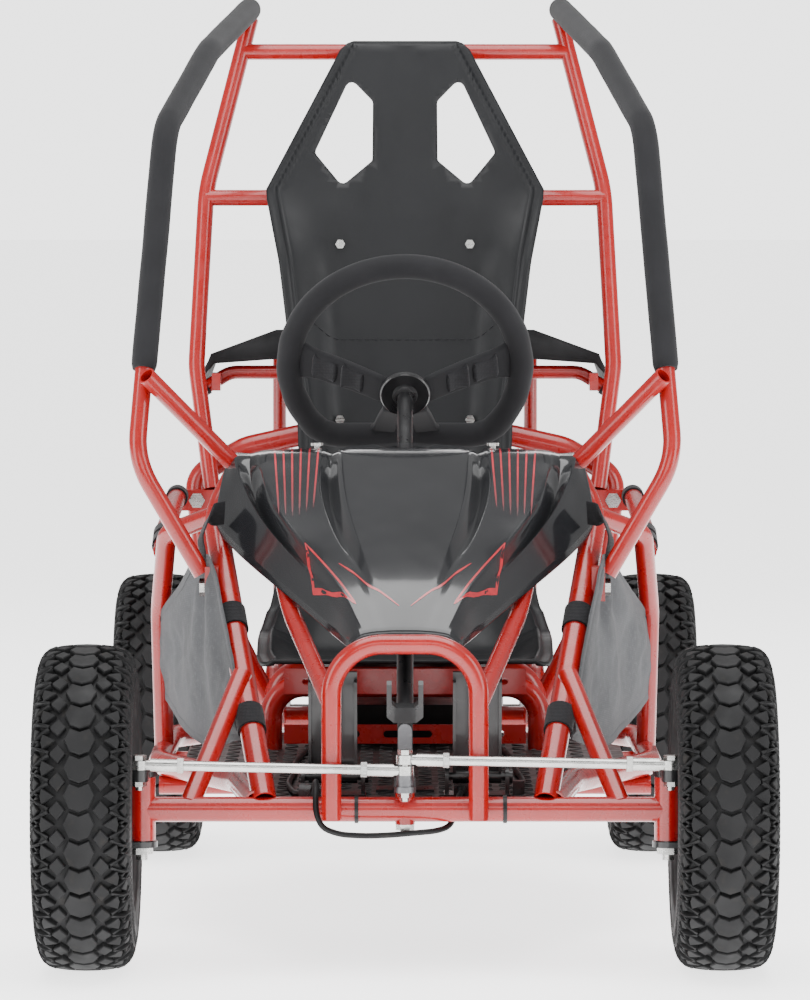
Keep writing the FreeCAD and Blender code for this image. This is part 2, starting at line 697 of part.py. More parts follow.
REAR_HOOP_HALF = [(RAIL_REAR_ACROSS, 842, RAIL_HEIGHT + 6), (228, 886, 330), (244, 916, 452),
                  (186, 916, 486), (120, 908, 501)]
rear_hoop_points = [at(-1, *point) for point in REAR_HOOP_HALF]
rear_hoop_points += [at(1, *point) for point in reversed(REAR_HOOP_HALF)]
rear_frame = Tube(rear_hoop_points,
                  (60, 28, 60, 60, 60, 60, 28, 60))
motor_cross = Tube([Vector(-150, 838, RAIL_HEIGHT + 4), Vector(150, 838, RAIL_HEIGHT + 4)])
rear_frame_shape = rear_frame.coped(motor_cross, *lower_rails.values())

rear_legs = pair(REAR_HOOP, (120, 200), SLIM)
cross_low = Tube([at(-1, 232.5, 972, 775), at(1, 232.5, 972, 775)], (), SLIM)
cross_high = Tube([at(-1, 192, 1032, 946), at(1, 192, 1032, 946)], (), SLIM)
cage_bars = pair([LEG_TIP, LEG_ELBOW, CAGE_SHOULDER, CAGE_CREST, CAGE_REAR], (85, 60, 160), SLIM)
cage_braces = pair([(272.0, 267.0, 592.0), (176.0, 350.0, 488.0)], (), SLIM)
keep("rear_frame_hoop", rear_frame_shape.cut(rear_legs["left"].envelope).cut(rear_legs["right"].envelope))
keep("cage_rear_legs", group([rear_legs[name].coped(cage_bars[name]) for name in SIDES]))
keep("cage_bars", group([tube.shape for tube in cage_bars.values()]))
cage_crosses = [bar.coped(*rear_legs.values()) for bar in (cross_low, cross_high)]
cage_crosses += [cage_braces[name].coped(cage_bars[name], dash_hoop) for name in SIDES]
keep("cage_braces", group(cage_crosses))

# Foam sleeves over the upper part of each cage bar.
def make_foam(name, side):
    elbow = at(side, *LEG_ELBOW)
    shoulder = at(side, *CAGE_SHOULDER)
    start = elbow + (shoulder - elbow) * 0.27
    rear = at(side, *CAGE_REAR)
    crest = at(side, *CAGE_CREST)
    end = rear + unit(crest - rear) * 18
    points = [start, shoulder, crest, end]
    outer = rod(points, (60, 160), size("foam_tube") / 2)
    inner = rod(points, (60, 160), SLIM + 0.2)
    foam = outer.cut(inner)
    return largest(foam.cut(rear_legs[name].envelope))


keep("cage_foam", group([make_foam(name, side) for name, side in SIDES.items()]))

# Flat bolted feet of the cage bars, and the brackets that carry them.
CAGE_BOLT = 5.0


def make_cage_mounts():
    brackets = []
    bolts = []
    for side in SIDES.values():
        name = "left" if side < 0 else "right"
        foot = at(side, 203.0, 254.0, 370.0)
        ear = block((foot.x - 7, foot.y - 12, foot.z - 14), (foot.x + 7, foot.y + 16, foot.z + 22))
        ear = ear.cut(cage_bars[name].envelope).cut(dash_hoop.envelope)
        hole_start = foot - X_AXIS * 20
        ear = ear.cut(Part.makeCylinder(CAGE_BOLT, 40, hole_start, X_AXIS))
        brackets.append(largest(ear))
        bolts.append(bolt(CAGE_BOLT, 1.5, foot + X_AXIS * (7 * side), X_AXIS * side, nut=False))
        rear = at(side, 240.0, 882.0, 427.0)
        clamp = block((rear.x - 22, rear.y - 12, rear.z - 12), (rear.x + 22, rear.y + 12, rear.z + 12))
        for tube in (rear_legs[name], upper_rails[name], rear_frame):
            clamp = clamp.cut(tube.envelope)
        clamp = largest(clamp)
        clamp = clamp.cut(Part.makeCylinder(CAGE_BOLT, 60, rear - Y_AXIS * 30, Y_AXIS))
        brackets.append(largest(clamp))
        bolts.append(bolt(CAGE_BOLT, 12.0, rear - Y_AXIS * 12, Y_AXIS * -1, nut=False))
    return brackets, bolts


cage_brackets, cage_bolts = make_cage_mounts()
frame_bolts += cage_bolts

# ---------------------------------------------------------------- floor, seat frame and seat
PAN = size("pan_height")
CROSS_BACKS = (335.0, 600.0)
cross_members = []
for back in CROSS_BACKS:
    cross = Tube([Vector(-262, back, PAN - 10), Vector(262, back, PAN - 10)], (), 10.0)
    cross_members.append(cross)
rear_cross = Tube([Vector(across, REAR_END - 20, RAIL_REAR_HEIGHT) for across in (-150, 150)])
floor_tubes = [tube.coped(*lower_rails.values()) for tube in cross_members + [rear_cross, motor_cross]]
keep("cross_members", group(floor_tubes))

pan_half = [("124", "34"), ("150", "160"), ("240", "350"), ("240", "640"), ("142", "796")]
pan_outline = [("-" + across, back) for across, back in pan_half] + pan_half[::-1]
pan = padded_body("floor_pan", "XY_Plane", pan_outline, "Size.pan_sheet")
keep_object("floor_pan", pan, Placement(Vector(0, -HALF_WHEELBASE, PAN), Rotation()))

SEAT_FRONT = 600.0
SEAT_REAR = 812.0
SEAT_RAIL = 236.0
ARCH_HALF = 149.0
ARCH_BENDS = (36, 36)


def seat_arch(back, foot):
    """A cross arch that stands on two feet and carries the seat."""
    corners = [(-1, foot), (-1, SEAT_RAIL), (1, SEAT_RAIL), (1, foot)]
    return Tube([Vector(side * ARCH_HALF, back, height) for side, height in corners], ARCH_BENDS)


pan_clearance = block((-240, 500, 0), (240, 700, PAN + size("pan_sheet")))
front_arch = largest(seat_arch(SEAT_FRONT, PAN).coped(cross_members[1]).cut(pan_clearance))
rear_arch = seat_arch(SEAT_REAR, RAIL_HEIGHT)
seat_frame = [front_arch, largest(rear_arch.coped(*lower_rails.values()).cut(motor_cross.envelope))]


def slotted_plate(low, high, slots):
    sheet_metal = block(low, high)
    for start in slots:
        length = 46.0
        height = (low[2] + high[2]) / 2
        cut = fuse(block((start, low[1] - 1, height - 4), (start + length, high[1] + 1, height + 4)),
                   Part.makeCylinder(4, 20, Vector(start, low[1] - 5, height), Y_AXIS),
                   Part.makeCylinder(4, 20, Vector(start + length, low[1] - 5, height), Y_AXIS))
        sheet_metal = sheet_metal.cut(cut)
    return sheet_metal


front_face = SEAT_FRONT - MAIN
seat_frame += [
    slotted_plate((-134, front_face - 3, 228), (134, front_face, 256), (-110, 64)),
    slotted_plate((-134, front_face - 3, 173), (134, front_face, 194), (-100, -20, 60)),
    block((-60, SEAT_FRONT + MAIN, SEAT_RAIL - 3), (-30, SEAT_REAR - MAIN, SEAT_RAIL + 3)),
    block((30, SEAT_FRONT + MAIN, SEAT_RAIL - 3), (60, SEAT_REAR - MAIN, SEAT_RAIL + 3)),
]
keep("seat_frame", group(seat_frame))

# Seat: a side profile band, trimmed to the front outline, with rolled side walls.
SEAT_BASE = SEAT_RAIL + MAIN + 1.5
SEAT_THICK = size("seat_sheet")
BACK_FOOT = (846.0, SEAT_BASE + 26)
BACK_TOP = (958.0, 958.0)


def seat_band(inset, thickness, width):
    """The side profile (base, bend, back) as a band extruded across the kart."""
    front = (SEAT_FRONT - 6, SEAT_BASE + 10 + inset)
    dip = (SEAT_FRONT + 60, SEAT_BASE + inset)
    rear = (BACK_FOOT[0] - 46, SEAT_BASE + inset)
    foot = (BACK_FOOT[0], BACK_FOOT[1] + inset + 18)
    line = [front, dip, rear, foot, BACK_TOP]
    back_way = unit(Vector(BACK_TOP[0] - foot[0], BACK_TOP[1] - foot[1], 0))
    shift = Vector(-back_way.y, back_way.x, 0) * thickness
    upper = [(a, b + thickness) for a, b in line[:3]]
    upper += [(foot[0] + shift.x, foot[1] + shift.y + 4), (BACK_TOP[0] + shift.x, BACK_TOP[1] + shift.y)]
    return plate(line + upper[::-1], 2 * width, "YZ", -width)


def seat_outline(grow):
    half = [(70 + grow, 958 + grow), (162 + grow, 784), (146 + grow, 700),
            (124 + grow, 520), (120 + grow, 430),
            (150 + grow, 330), (166 + grow, 262), (150 + grow, 200)]
    return plate(mirrored([(a, b) for a, b in half]), 500, "XZ", 560)


def make_seat():
    shell = seat_band(0, SEAT_THICK, 200).common(seat_outline(0))
    wall_block = plate([(SEAT_FRONT + 20, SEAT_BASE), (BACK_FOOT[0] - 46, SEAT_BASE),
                        (BACK_FOOT[0], SEAT_BASE + 44),
                        (BACK_TOP[0] - 20, 780), (BACK_TOP[0] - 64, 780), (BACK_FOOT[0] - 50, 420),
                        (BACK_FOOT[0] - 110, 330), (SEAT_FRONT + 40, SEAT_BASE + 40)], 400, "YZ", -200)
    rim = seat_outline(0).cut(seat_outline(-SEAT_THICK))
    walls = wall_block.common(rim)
    band_inside = seat_band(0, SEAT_THICK, 200)
    shell = fuse(shell, *walls.cut(band_inside).Solids)
    for side in SIDES.values():
        corners = [(64, 915), (37, 888), (37.5, 819), (73, 789), (105, 828)]
        window = plate([(side * a, b) for a, b in corners], 400, "XZ", 700)
        shell = shell.cut(window)
    return largest(shell)


seat = make_seat()
SEAT_BOLT = 3.0
seat_bolts = []
for across, height in ((75.0, 722.0), (75.0, 520.0)):
    for side in SIDES.values():
        depth = BACK_FOOT[0] + (BACK_TOP[0] - BACK_FOOT[0]) * (height - 308) / (958 - 308)
        head = Vector(side * across, depth - SEAT_THICK - 3, height)
        seat = seat.cut(Part.makeCylinder(SEAT_BOLT, 40, head - Y_AXIS * 12, Y_AXIS))
        seat_bolts.append(bolt(SEAT_BOLT, SEAT_THICK + 6, head, Y_AXIS * -1))
keep("seat_shell", largest(seat))
frame_bolts += seat_bolts


# ---------------------------------------------------------------- fairing and rear cover
# Half sections of the fairing: distance back, then (across, height) from the middle out.
FAIRING_NOSE = [
    (22.0, [(0, 343), (30, 342), (46, 340), (56, 331)]),
    (90.0, [(0, 392), (46, 386), (64, 372), (77, 344)]),
    (180.0, [(0, 438), (74, 432), (108, 418), (125, 378)]),
    (250.0, [(0, 471), (98, 470), (148, 456), (168, 408)]),
    (318.0, [(0, 503), (116, 505), (182, 501), (204, 436)]),
]
FAIRING_TOP = [
    (318.0, [(0, 503), (116, 505), (150, 503), (182, 501)]),
    (338.0, [(0, 509), (116, 510), (150, 509), (182, 507)]),
    (402.0, [(0, 515), (112, 513), (148, 510), (176, 507)]),
]


def sheet_section(back, half, thickness):
    """A closed thin band through a half section, mirrored, as a wire across the kart."""
    right = list(half)
    left = [(-a, b) for a, b in half[:0:-1]]
    line = left + right
    inner = []
    for index, (a, b) in enumerate(line):
        before = line[max(index - 1, 0)]
        after = line[min(index + 1, len(line) - 1)]
        way = unit(Vector(after[0] - before[0], after[1] - before[1], 0))
        inner.append((a + way.y * thickness, b - way.x * thickness))
    points = [Vector(a, back, b) for a, b in line + inner[::-1]]
    return Part.makePolygon(points + points[:1])


def shell_loft(sections, thickness):
    wires = [sheet_section(back, half, thickness) for back, half in sections]
    return Part.makeLoft(wires, True, True)


FAIRING_SHELLS = [shell_loft(part, size("fairing_sheet")) for part in (FAIRING_NOSE, FAIRING_TOP)]
fairing = fuse(*FAIRING_SHELLS)
SCREW_TOP = 513.4
FAIRING_SCREWS = [(-94.0, 372.0), (94.0, 372.0)]
screw_heads = []
for across, back in FAIRING_SCREWS:
    fairing = fairing.cut(post(3.0, SCREW_TOP - 33, SCREW_TOP + 27, across, back))
    shank = post(3.0, SCREW_TOP - 14, SCREW_TOP, across, back)
    screw_heads.append(fuse(shank, post(6.5, SCREW_TOP, SCREW_TOP + 3, across, back)))
for tube in cage_braces.values():
    fairing = fairing.cut(rod(tube.ends, (), SLIM + 1.5))
keep("front_fairing", largest(fairing))
frame_bolts += screw_heads
keep("frame_bolts", group(frame_bolts))
fairing_tabs = []
for across, back in FAIRING_SCREWS:
    tab = block((across - 12, 345, 495), (across + 12, back + 12, 498)).cut(dash_hoop.envelope)
    fairing_tabs.append(largest(tab.cut(post(3.0, 480, 540, across, back))))
keep("frame_brackets", group(cage_brackets + fairing_tabs))

COVER_HALF = [(0, 624), (150, 622), (226, 594), (237, 566)]
cover = shell_loft([(942.0, COVER_HALF), (1150.0, [(a, b - 10) for a, b in COVER_HALF])], 3.0)
keep("rear_cover", cover)
COVER_TUBE = [(230.0, 952.0, 556.0), (204.0, 952.0, 572.0)]
cover_tube = Tube([at(-1, *COVER_TUBE[0]), at(-1, *COVER_TUBE[1]),
                   at(1, *COVER_TUBE[1]), at(1, *COVER_TUBE[0])],
                  (30, 30), SLIM - 1.5)
cover_pieces = [cover_tube.shape]
caps = []
for name, side in SIDES.items():
    link = block((side * 219 - 5, 912, 552), (side * 219 + 5, 952, 572))
    link = link.cut(rear_legs[name].envelope).cut(cover_tube.envelope)
    link = largest(link)
    cover_pieces.append(link)
    end = at(side, *COVER_TUBE[0])
    outward = unit(end - at(side, *COVER_TUBE[1]))
    caps.append(Part.makeCylinder(SLIM, 5, end, outward))
for side in SIDES.values():
    stand = Tube([at(side, 150, 1128, RAIL_REAR_HEIGHT), at(side, 150, 1128, 606)], (), SLIM - 1.5)
    cover_pieces.append(largest(stand.coped(lower_rails["left"], lower_rails["right"], rear_cross).cut(
        block((-300, 1000, 606), (300, 1200, 700)))))
keep("cover_supports", group(cover_pieces))

# ---------------------------------------------------------------- rear axle, drive and brake
AXLE_BACK = size("wheelbase")
AXLE_RADIUS = size("rear_axle_radius")
DRIVE = size("drive_across")
MOTOR = (size("motor_back"), size("motor_height"))
AXLE_END = size("rear_track") / 2 + 44

axle = doc.addObject("Part::Cylinder", "rear_axle_bar")
axle.setExpression("Radius", "Size.rear_axle_radius")
axle.setExpression("Height", "Size.rear_track + 88")
axle_place = Placement(Vector(-AXLE_END, AXLE_BACK - HALF_WHEELBASE, AXLE_HEIGHT), Rotation(Z_AXIS, X_AXIS))
keep_object("rear_axle", axle, axle_place)

nuts = []
for side in SIDES.values():
    start = Vector(side * (size("rear_track") / 2 + 30.2), AXLE_BACK, AXLE_HEIGHT)
    nut = hexagon(30, 10, start, X_AXIS * side)
    nuts.append(nut.cut(across_rod(AXLE_RADIUS, -400, 400, AXLE_BACK, AXLE_HEIGHT)))
keep("rear_axle_nuts", group(nuts))

bearing_blocks = []
bearing_rings = []
for side in SIDES.values():
    low = side * RAIL_REAR_ACROSS - 14
    high = side * RAIL_REAR_ACROSS + 14
    house = fuse(across_rod(30, low, high, AXLE_BACK, AXLE_HEIGHT),
                 block((low, AXLE_BACK - 30, AXLE_HEIGHT), (high, AXLE_BACK + 30, RAIL_REAR_HEIGHT)))
    for tube in lower_rails.values():
        house = house.cut(tube.envelope)
    house = largest(house)
    house = house.cut(across_rod(23.5, low, high, AXLE_BACK, AXLE_HEIGHT))
    bearing_blocks.append(house)
    ring = across_rod(23.5, low + 7, high - 7, AXLE_BACK, AXLE_HEIGHT)
    bearing_rings.append(ring.cut(across_rod(AXLE_RADIUS + GAP / 2, low, high, AXLE_BACK, AXLE_HEIGHT)))
keep("rear_axle_bearings", group(bearing_blocks + bearing_rings))


def gear_face(teeth, root, tip):
    """A face with pointed, flat-tipped teeth, in the YZ plane."""
    points = []
    step = 2 * math.pi / teeth
    for tooth in range(int(teeth)):
        for part_of_step, radius in ((-0.32, root), (-0.12, tip), (0.12, tip), (0.32, root)):
            angle = (tooth + part_of_step) * step
            points.append(Vector(0, radius * math.cos(angle), radius * math.sin(angle)))
    return Part.Face(Part.makePolygon(points + points[:1]))


def pitch_radius(teeth):
    return size("chain_pitch") / (2 * math.sin(math.pi / teeth))


def place_yz(shape, across, back, height):
    shape = shape.copy()
    shape.Placement = Placement(Vector(across, back, height), Rotation())
    return shape


ROLLER_CLEAR = 27.0


def make_drive():
    big = pitch_radius(size("sprocket_teeth"))
    small = pitch_radius(size("pinion_teeth"))
    wheel = gear_face(size("sprocket_teeth"), big - 2.6, big + 2.4).extrude(X_AXIS * 3.4)
    for turn in range(6):
        angle = math.radians(60 * turn)
        spot = Vector(-5, 46 * math.cos(angle), 46 * math.sin(angle))
        wheel = wheel.cut(Part.makeCylinder(11, 15, spot, X_AXIS))
    hub = Part.makeCylinder(22, 22, Vector(0, 0, 0), X_AXIS)
    wheel = fuse(wheel, hub).cut(Part.makeCylinder(AXLE_RADIUS + 0.02, 40, Vector(-5, 0, 0), X_AXIS))
    keep("sprocket", place_yz(wheel, -DRIVE - 1.7, AXLE_BACK, AXLE_HEIGHT))

    gear = gear_face(size("pinion_teeth"), small - 2.6, small + 2.2).extrude(X_AXIS * 3.4)
    shaft = Part.makeCylinder(6, 30, Vector(-6, 0, 0), X_AXIS)
    keep("motor_pinion", place_yz(fuse(gear, shaft), -DRIVE - 1.7, *MOTOR))

    centre = Vector(-DRIVE, AXLE_BACK, AXLE_HEIGHT)
    pinion = Vector(-DRIVE, *MOTOR)
    line = pinion - centre
    spread = math.acos((big - small) / line.Length)
    base = math.atan2(line.z, line.y)

    def loop(grow):
        edges = []
        ends = []
        for sign in (1, -1):
            angle = base + sign * spread
            way = Vector(0, math.cos(angle), math.sin(angle))
            ends.append((centre + way * (big + grow), pinion + way * (small + grow)))
        far = centre - unit(line) * (big + grow)
        near = pinion + unit(line) * (small + grow)
        edges.append(Part.makeLine(ends[0][0], ends[0][1]))
        edges.append(Part.Arc(ends[0][1], near, ends[1][1]).toShape())
        edges.append(Part.makeLine(ends[1][1], ends[1][0]))
        edges.append(Part.Arc(ends[1][0], far, ends[0][0]).toShape())
        return Part.Wire(edges), ends

    # Rollers are left out beside the sprockets, where the teeth pass.
    outer, _ = loop(3.6)
    inner, _ = loop(-3.6)
    _, runs = loop(0)
    links = []
    for start in (-4.0, 2.8):
        band = Part.Face(outer).cut(Part.Face(inner)).extrude(X_AXIS * 1.2)
        band.translate(X_AXIS * start)
        links.append(band)
    for run_start, run_end in runs:
        way = unit(run_end - run_start)
        count = int(((run_end - run_start).Length - 2 * ROLLER_CLEAR) // size("chain_pitch"))
        for index in range(count + 1):
            spot = run_start + way * (ROLLER_CLEAR + index * size("chain_pitch")) - X_AXIS * 2.8
            links.append(Part.makeCylinder(2.4, 5.6, spot, X_AXIS))
    keep("drive_chain", fuse(*links))


make_drive()

motor_can = doc.addObject("Part::Cylinder", "motor_can")
motor_can.setExpression("Radius", "Size.motor_radius")
motor_can.setExpression("Height", "Size.motor_length")
keep_object("motor", motor_can, Placement(
    Vector(-DRIVE + 24, MOTOR[0] - HALF_WHEELBASE, MOTOR[1]), Rotation(Z_AXIS, X_AXIS)))
MOUNT_FACE = -DRIVE + 18
mount_plate = plate([(852, 196), (852, 160), (880, 132), (968, 132),
                     (985, 160), (985, 212), (960, 240), (880, 240)],
                    6, "YZ", MOUNT_FACE)
mount_plate = mount_plate.cut(across_rod(13, -200, 200, *MOTOR)).cut(motor_cross.envelope)
mount_foot = block((MOUNT_FACE - 14, 835, 172), (MOUNT_FACE + 20, 853, 186)).cut(motor_cross.envelope)
motor_mount = largest(fuse(largest(mount_plate), largest(mount_foot.cut(mount_plate))))

disc = across_rod(size("disc_radius"), DRIVE - 1.5, DRIVE + 1.5, AXLE_BACK, AXLE_HEIGHT)
for turn in range(12):
    angle = math.radians(30 * turn)
    spot_back = AXLE_BACK + 54 * math.cos(angle)
    spot_height = AXLE_HEIGHT + 54 * math.sin(angle)
    disc = disc.cut(across_rod(4.5, DRIVE - 3, DRIVE + 3, spot_back, spot_height))
disc_hub = across_rod(22, DRIVE - 20, DRIVE - 1.5, AXLE_BACK, AXLE_HEIGHT)
disc_bore = across_rod(AXLE_RADIUS + 0.02, DRIVE - 30, DRIVE + 10, AXLE_BACK, AXLE_HEIGHT)
disc = fuse(disc, disc_hub).cut(disc_bore)
keep("brake_disc", disc)
CALIPER_LOW = (DRIVE - 20, AXLE_BACK - 84, AXLE_HEIGHT + 6)
CALIPER_HIGH = (DRIVE + 20, AXLE_BACK - 40, AXLE_HEIGHT + 58)
caliper = block(CALIPER_LOW, CALIPER_HIGH)
caliper = caliper.cut(across_rod(size("disc_radius") + 2, DRIVE - 3.2, DRIVE + 3.2, AXLE_BACK, AXLE_HEIGHT))
caliper_arm = block((DRIVE + 20, AXLE_BACK - 78, AXLE_HEIGHT + 44),
                    (RAIL_REAR_ACROSS, AXLE_BACK - 46, AXLE_HEIGHT + 54))
caliper_arm = caliper_arm.cut(lower_rails["right"].envelope)
keep("brake_caliper", largest(fuse(caliper, largest(caliper_arm))))

TRAY = RAIL_REAR_HEIGHT + MAIN + 0.05
battery_tray = block((-150, 966, TRAY), (150, 1112, TRAY + 3))
keep("drive_mounts", group([motor_mount, battery_tray]))
battery = block((-122, 972, TRAY + 3), (122, 1106, TRAY + 150))
upright_edges = [edge for edge in battery.Edges if abs(edge.Vertexes[0].Z - edge.Vertexes[1].Z) > 50]
battery = battery.makeFillet(8, upright_edges)
keep("battery_box", battery)
controller = block((-58, 664, PAN + size("pan_sheet")), (58, 764, PAN + 46))
keep("controller_box", controller)

# ---------------------------------------------------------------- column supports
def make_column_supports():
    """A clamp bush under the dash hoop and a bushed post near the fork."""
    def bush(distance, length, radius):
        ring = Part.makeCylinder(radius, length, Vector(0, 0, distance), Z_AXIS)
        hole = Part.makeCylinder(size("column_radius") + GAP, length + 2, Vector(0, 0, distance - 1), Z_AXIS)
        return on_column(ring), on_column(hole)

    upper, upper_hole = bush(382, 24, 13)
    hanger = block((-13, 336, 462), (13, 352, 486)).cut(dash_hoop.envelope)
    upper_part = largest(fuse(upper.cut(dash_hoop.envelope), largest(hanger)).cut(upper_hole))
    lower, lower_hole = bush(160, 24, 13)
    foot = PAN + size("pan_sheet")
    strut = block((-8, 150, foot), (8, 162, 344))
    base = block((-30, 138, foot), (30, 176, foot + 3))
    lower_part = largest(fuse(lower, strut, base).cut(bush(110, 150, 13)[1]).cut(lower_hole))
    keep("column_supports", group([upper_part, lower_part]))


make_column_supports()

# ---------------------------------------------------------------- pedals
PIVOT_BACK = size("pedal_pivot_back")
PIVOT_HEIGHT = size("pedal_pivot_height")
PEDAL_WIDTH = 50.0
PIN = 4.0


def make_pedal(label, across):
    """A lever plate with ribs across its foot side, on a tube round the pivot pin."""
    half = PEDAL_WIDTH / 2
    tube = across_rod(7.5, -half, half, 0, 0)
    lever = block((-half, -2, 0), (half, 2, size("pedal_length")))
    ribs = [block((-half, 2, height), (half, 5, height + 5)) for height in range(52, 112, 12)]
    rails = [block((edge, -12, 8), (edge + 3, -2, size("pedal_length") - 8)) for edge in (-half, half - 3)]
    pedal = fuse(tube, lever, *ribs, *rails)
    pedal.Placement = Placement(Vector(across, PIVOT_BACK, PIVOT_HEIGHT), Rotation(X_AXIS, 12))
    pedal = pedal.cut(across_rod(PIN + GAP, across - 40, across + 40, PIVOT_BACK, PIVOT_HEIGHT))
    keep(label, largest(pedal))


PEDALS = {"throttle_pedal": -size("pedal_across"), "brake_pedal": size("pedal_across")}
pedal_brackets = []
pins = []
for label, across in PEDALS.items():
    make_pedal(label, across)
    floor = PAN + size("pan_sheet")
    base = block((across - 34, PIVOT_BACK - 18, floor), (across + 34, PIVOT_BACK + 26, floor + 3))
    ears = []
    for side in SIDES.values():
        near = across + side * 29
        low, high = sorted((near, near + side * 4))
        ear = fuse(block((low, PIVOT_BACK - 10, floor), (high, PIVOT_BACK + 10, PIVOT_HEIGHT)),
                   across_rod(10, low, high, PIVOT_BACK, PIVOT_HEIGHT))
        ears.append(ear)
    frame_piece = fuse(base, *ears).cut(across_rod(PIN, across - 40, across + 40, PIVOT_BACK, PIVOT_HEIGHT))
    pedal_brackets.append(frame_piece)
    pin = fuse(across_rod(PIN, across - 33, across + 36, PIVOT_BACK, PIVOT_HEIGHT),
               across_rod(PIN + 3, across + 33, across + 36.5, PIVOT_BACK, PIVOT_HEIGHT))
    pins.append(pin)
throttle_housing = block((-108, 36, PAN + size("pan_sheet")), (-82, 56, 184))
cable_anchor = block((111, 112, PAN + size("pan_sheet")), (123, 124, 180))
brake_switch = block((50, 86, PAN + size("pan_sheet") + 3), (66, 94, 180))
keep("pedal_brackets", group(pedal_brackets + pins + [throttle_housing, cable_anchor, brake_switch]))


# ---------------------------------------------------------------- cables, ties, nets
CABLE = size("cable_radius")


def cable(points):
    """A cable along straight runs joined by the largest arcs that the runs allow."""
    radii = []
    for index in range(1, len(points) - 1):
        before = points[index] - points[index - 1]
        after = points[index + 1] - points[index]
        half_turn = before.getAngle(after) / 2
        radii.append(0.45 * min(before.Length, after.Length) / math.tan(half_turn))
    print("cable radii", " ".join(f"{radius:.0f}" for radius in radii))
    return rod(points, radii, CABLE)


def kart_points(*places):
    return [Vector(*place) for place in places]


# From the throttle housing under the front beam to the brake pedal's switch.
PEDAL_WIRE = kart_points(
    (-92, 36, 176), (-91, 22, 186), (-90, 2, 192), (-90, -17, 182), (-90, -24, 163),
    (-84, -26, 147), (-66, -24, 140), (-40, -20, 138), (-14, -20, 139), (12, -17, 141),
    (32, -10, 142), (45, 4, 145), (50, 19, 154), (53, 28, 167), (55, 44, 172), (57, 64, 173), (58, 86, 174))
# From the throttle housing along the floor to the controller.
THROTTLE_CABLE = kart_points(
    (-100, 56, 174), (-104, 70, 171.5), (-112, 88, 170), (-117, 130, 169.4), (-122, 185, 169.2),
    (-120, 245, 169.4), (-117, 305, 169.2), (-119, 365, 169.4), (-118, 425, 169.2), (-113, 485, 169.4),
    (-108, 540, 169.2), (-97, 592, 169.4), (-86, 636, 171), (-76, 668, 176), (-68, 684, 181), (-58, 690, 184))
# From the brake pedal's anchor along the floor, over the rear cross tube to the caliper.
BRAKE_CABLE = kart_points(
    (117, 124, 174), (118, 140, 171.5), (121, 172, 169.8), (124, 215, 169.2), (122, 265, 169.4),
    (118, 320, 169.2), (120, 378, 169.4), (118, 436, 169.2), (113, 495, 169.4), (107, 550, 169.4),
    (103, 605, 169.2), (101, 660, 171), (101, 715, 179), (103, 765, 192), (106, 812, 203), (108, 860, 210),
    (108, 905, 214), (104, 940, 214), (100, 966, 208))
cables = [cable(points) for points in (PEDAL_WIRE, THROTTLE_CABLE, BRAKE_CABLE)]
cable_stops = group([controller, caliper, cable_anchor, throttle_housing, brake_switch])
cables = [largest(item.cut(cable_stops)) for item in cables]
keep("control_cables", group(cables))


def band(place, way, inner, thickness, width):
    """A short strap loop round a tube."""
    way = unit(way)
    start = place - way * (width / 2)
    ring = Part.makeCylinder(inner + thickness, width, start, way)
    return ring.cut(Part.makeCylinder(inner, width, start, way))


ties = [band(Vector(across, 0, BEAM), X_AXIS, MAIN + 0.1, 1.4, 4) for across in (-49, 101)]
keep("ties_and_caps", group(ties + caps))

straps = []
for side in SIDES.values():
    foot = at(side, *HOOP_FOOT)
    kink = at(side, *HOOP_KINK)
    for share, width in ((0.62, 30), (0.27, 30)):
        loop = band(foot + (kink - foot) * share, kink - foot, MAIN + 0.2, 2.0, width)
        straps.append(largest(loop.cut(diagonals["left"].envelope).cut(diagonals["right"].envelope)))
    rail_start = at(side, 262.0, 440.0, 396.0)
    rail_bend = at(side, 264.0, 560.0, 412.0)
    rail_end = at(side, 262.0, 872.0, 434.0)
    for share in (0.36, 0.72):
        along = rail_bend - rail_start
        straps.append(band(rail_start + along * share, along, SLIM + 1.2, 2.0, 30))
    straps.append(band(rail_bend + (rail_end - rail_bend) * 0.92, rail_end - rail_bend, SLIM + 1.2, 2.0, 26))
keep("net_straps", group(straps))

NET_SHEET = 3.0
NET_FRONT = (182.0, 150.0)
NET_REAR = (259.0, 450.0)


def make_net(side):
    """A fabric side panel that hangs in an upright plane outside the front upright."""
    start = at(side, NET_FRONT[0], NET_FRONT[1], 0)
    way = unit(at(side, NET_REAR[0], NET_REAR[1], 0) - start)
    outline = [(0, 228), (22, 300), (62, 348), (110, 366), (210, 374), (275, 366), (308, 330), (308, 240),
               (200, 206), (60, 206)]
    points = [start + way * along + Z_AXIS * height for along, height in outline]
    face = Part.Face(Part.makePolygon(points + points[:1]))
    return face.extrude(unit(way.cross(Z_AXIS)) * (NET_SHEET * side))


nets = []
for name, side in SIDES.items():
    net = make_net(side)
    cutters = [dash_hoop.envelope, cage_bars[name].envelope, diagonals[name].envelope]
    for cutter in cutters + straps + cage_bolts + cage_brackets:
        net = net.cut(cutter)
    nets.append(largest(net))
keep("side_nets", group(nets))


# ---------------------------------------------------------------- checks and export
def export_all():
    doc.recompute()
    for item in doc.Objects:
        if "Invalid" in item.State or "Error" in item.State:
            raise RuntimeError(f"{item.Label} is {item.State}")
    os.makedirs("parts", exist_ok=True)
    for item in subparts:
        shape = item.Shape
        if shape.isNull() or not shape.isValid():
            raise RuntimeError(f"{item.Label} has no valid shape")
        shape.exportStep(os.path.join("parts", item.Label + ".step"))
        print(f"{item.Label:28s} solids {len(shape.Solids):3d}  volume {shape.Volume / 1000:10.1f} cm3")


export_all()
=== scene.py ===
"""Looks for a child's off-road kart chassis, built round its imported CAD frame.

Lengths in the shape functions are millimetres: across (to the driver's left), back (behind the front
axle) and up from the ground. spot() turns them into frame millimetres.
"""

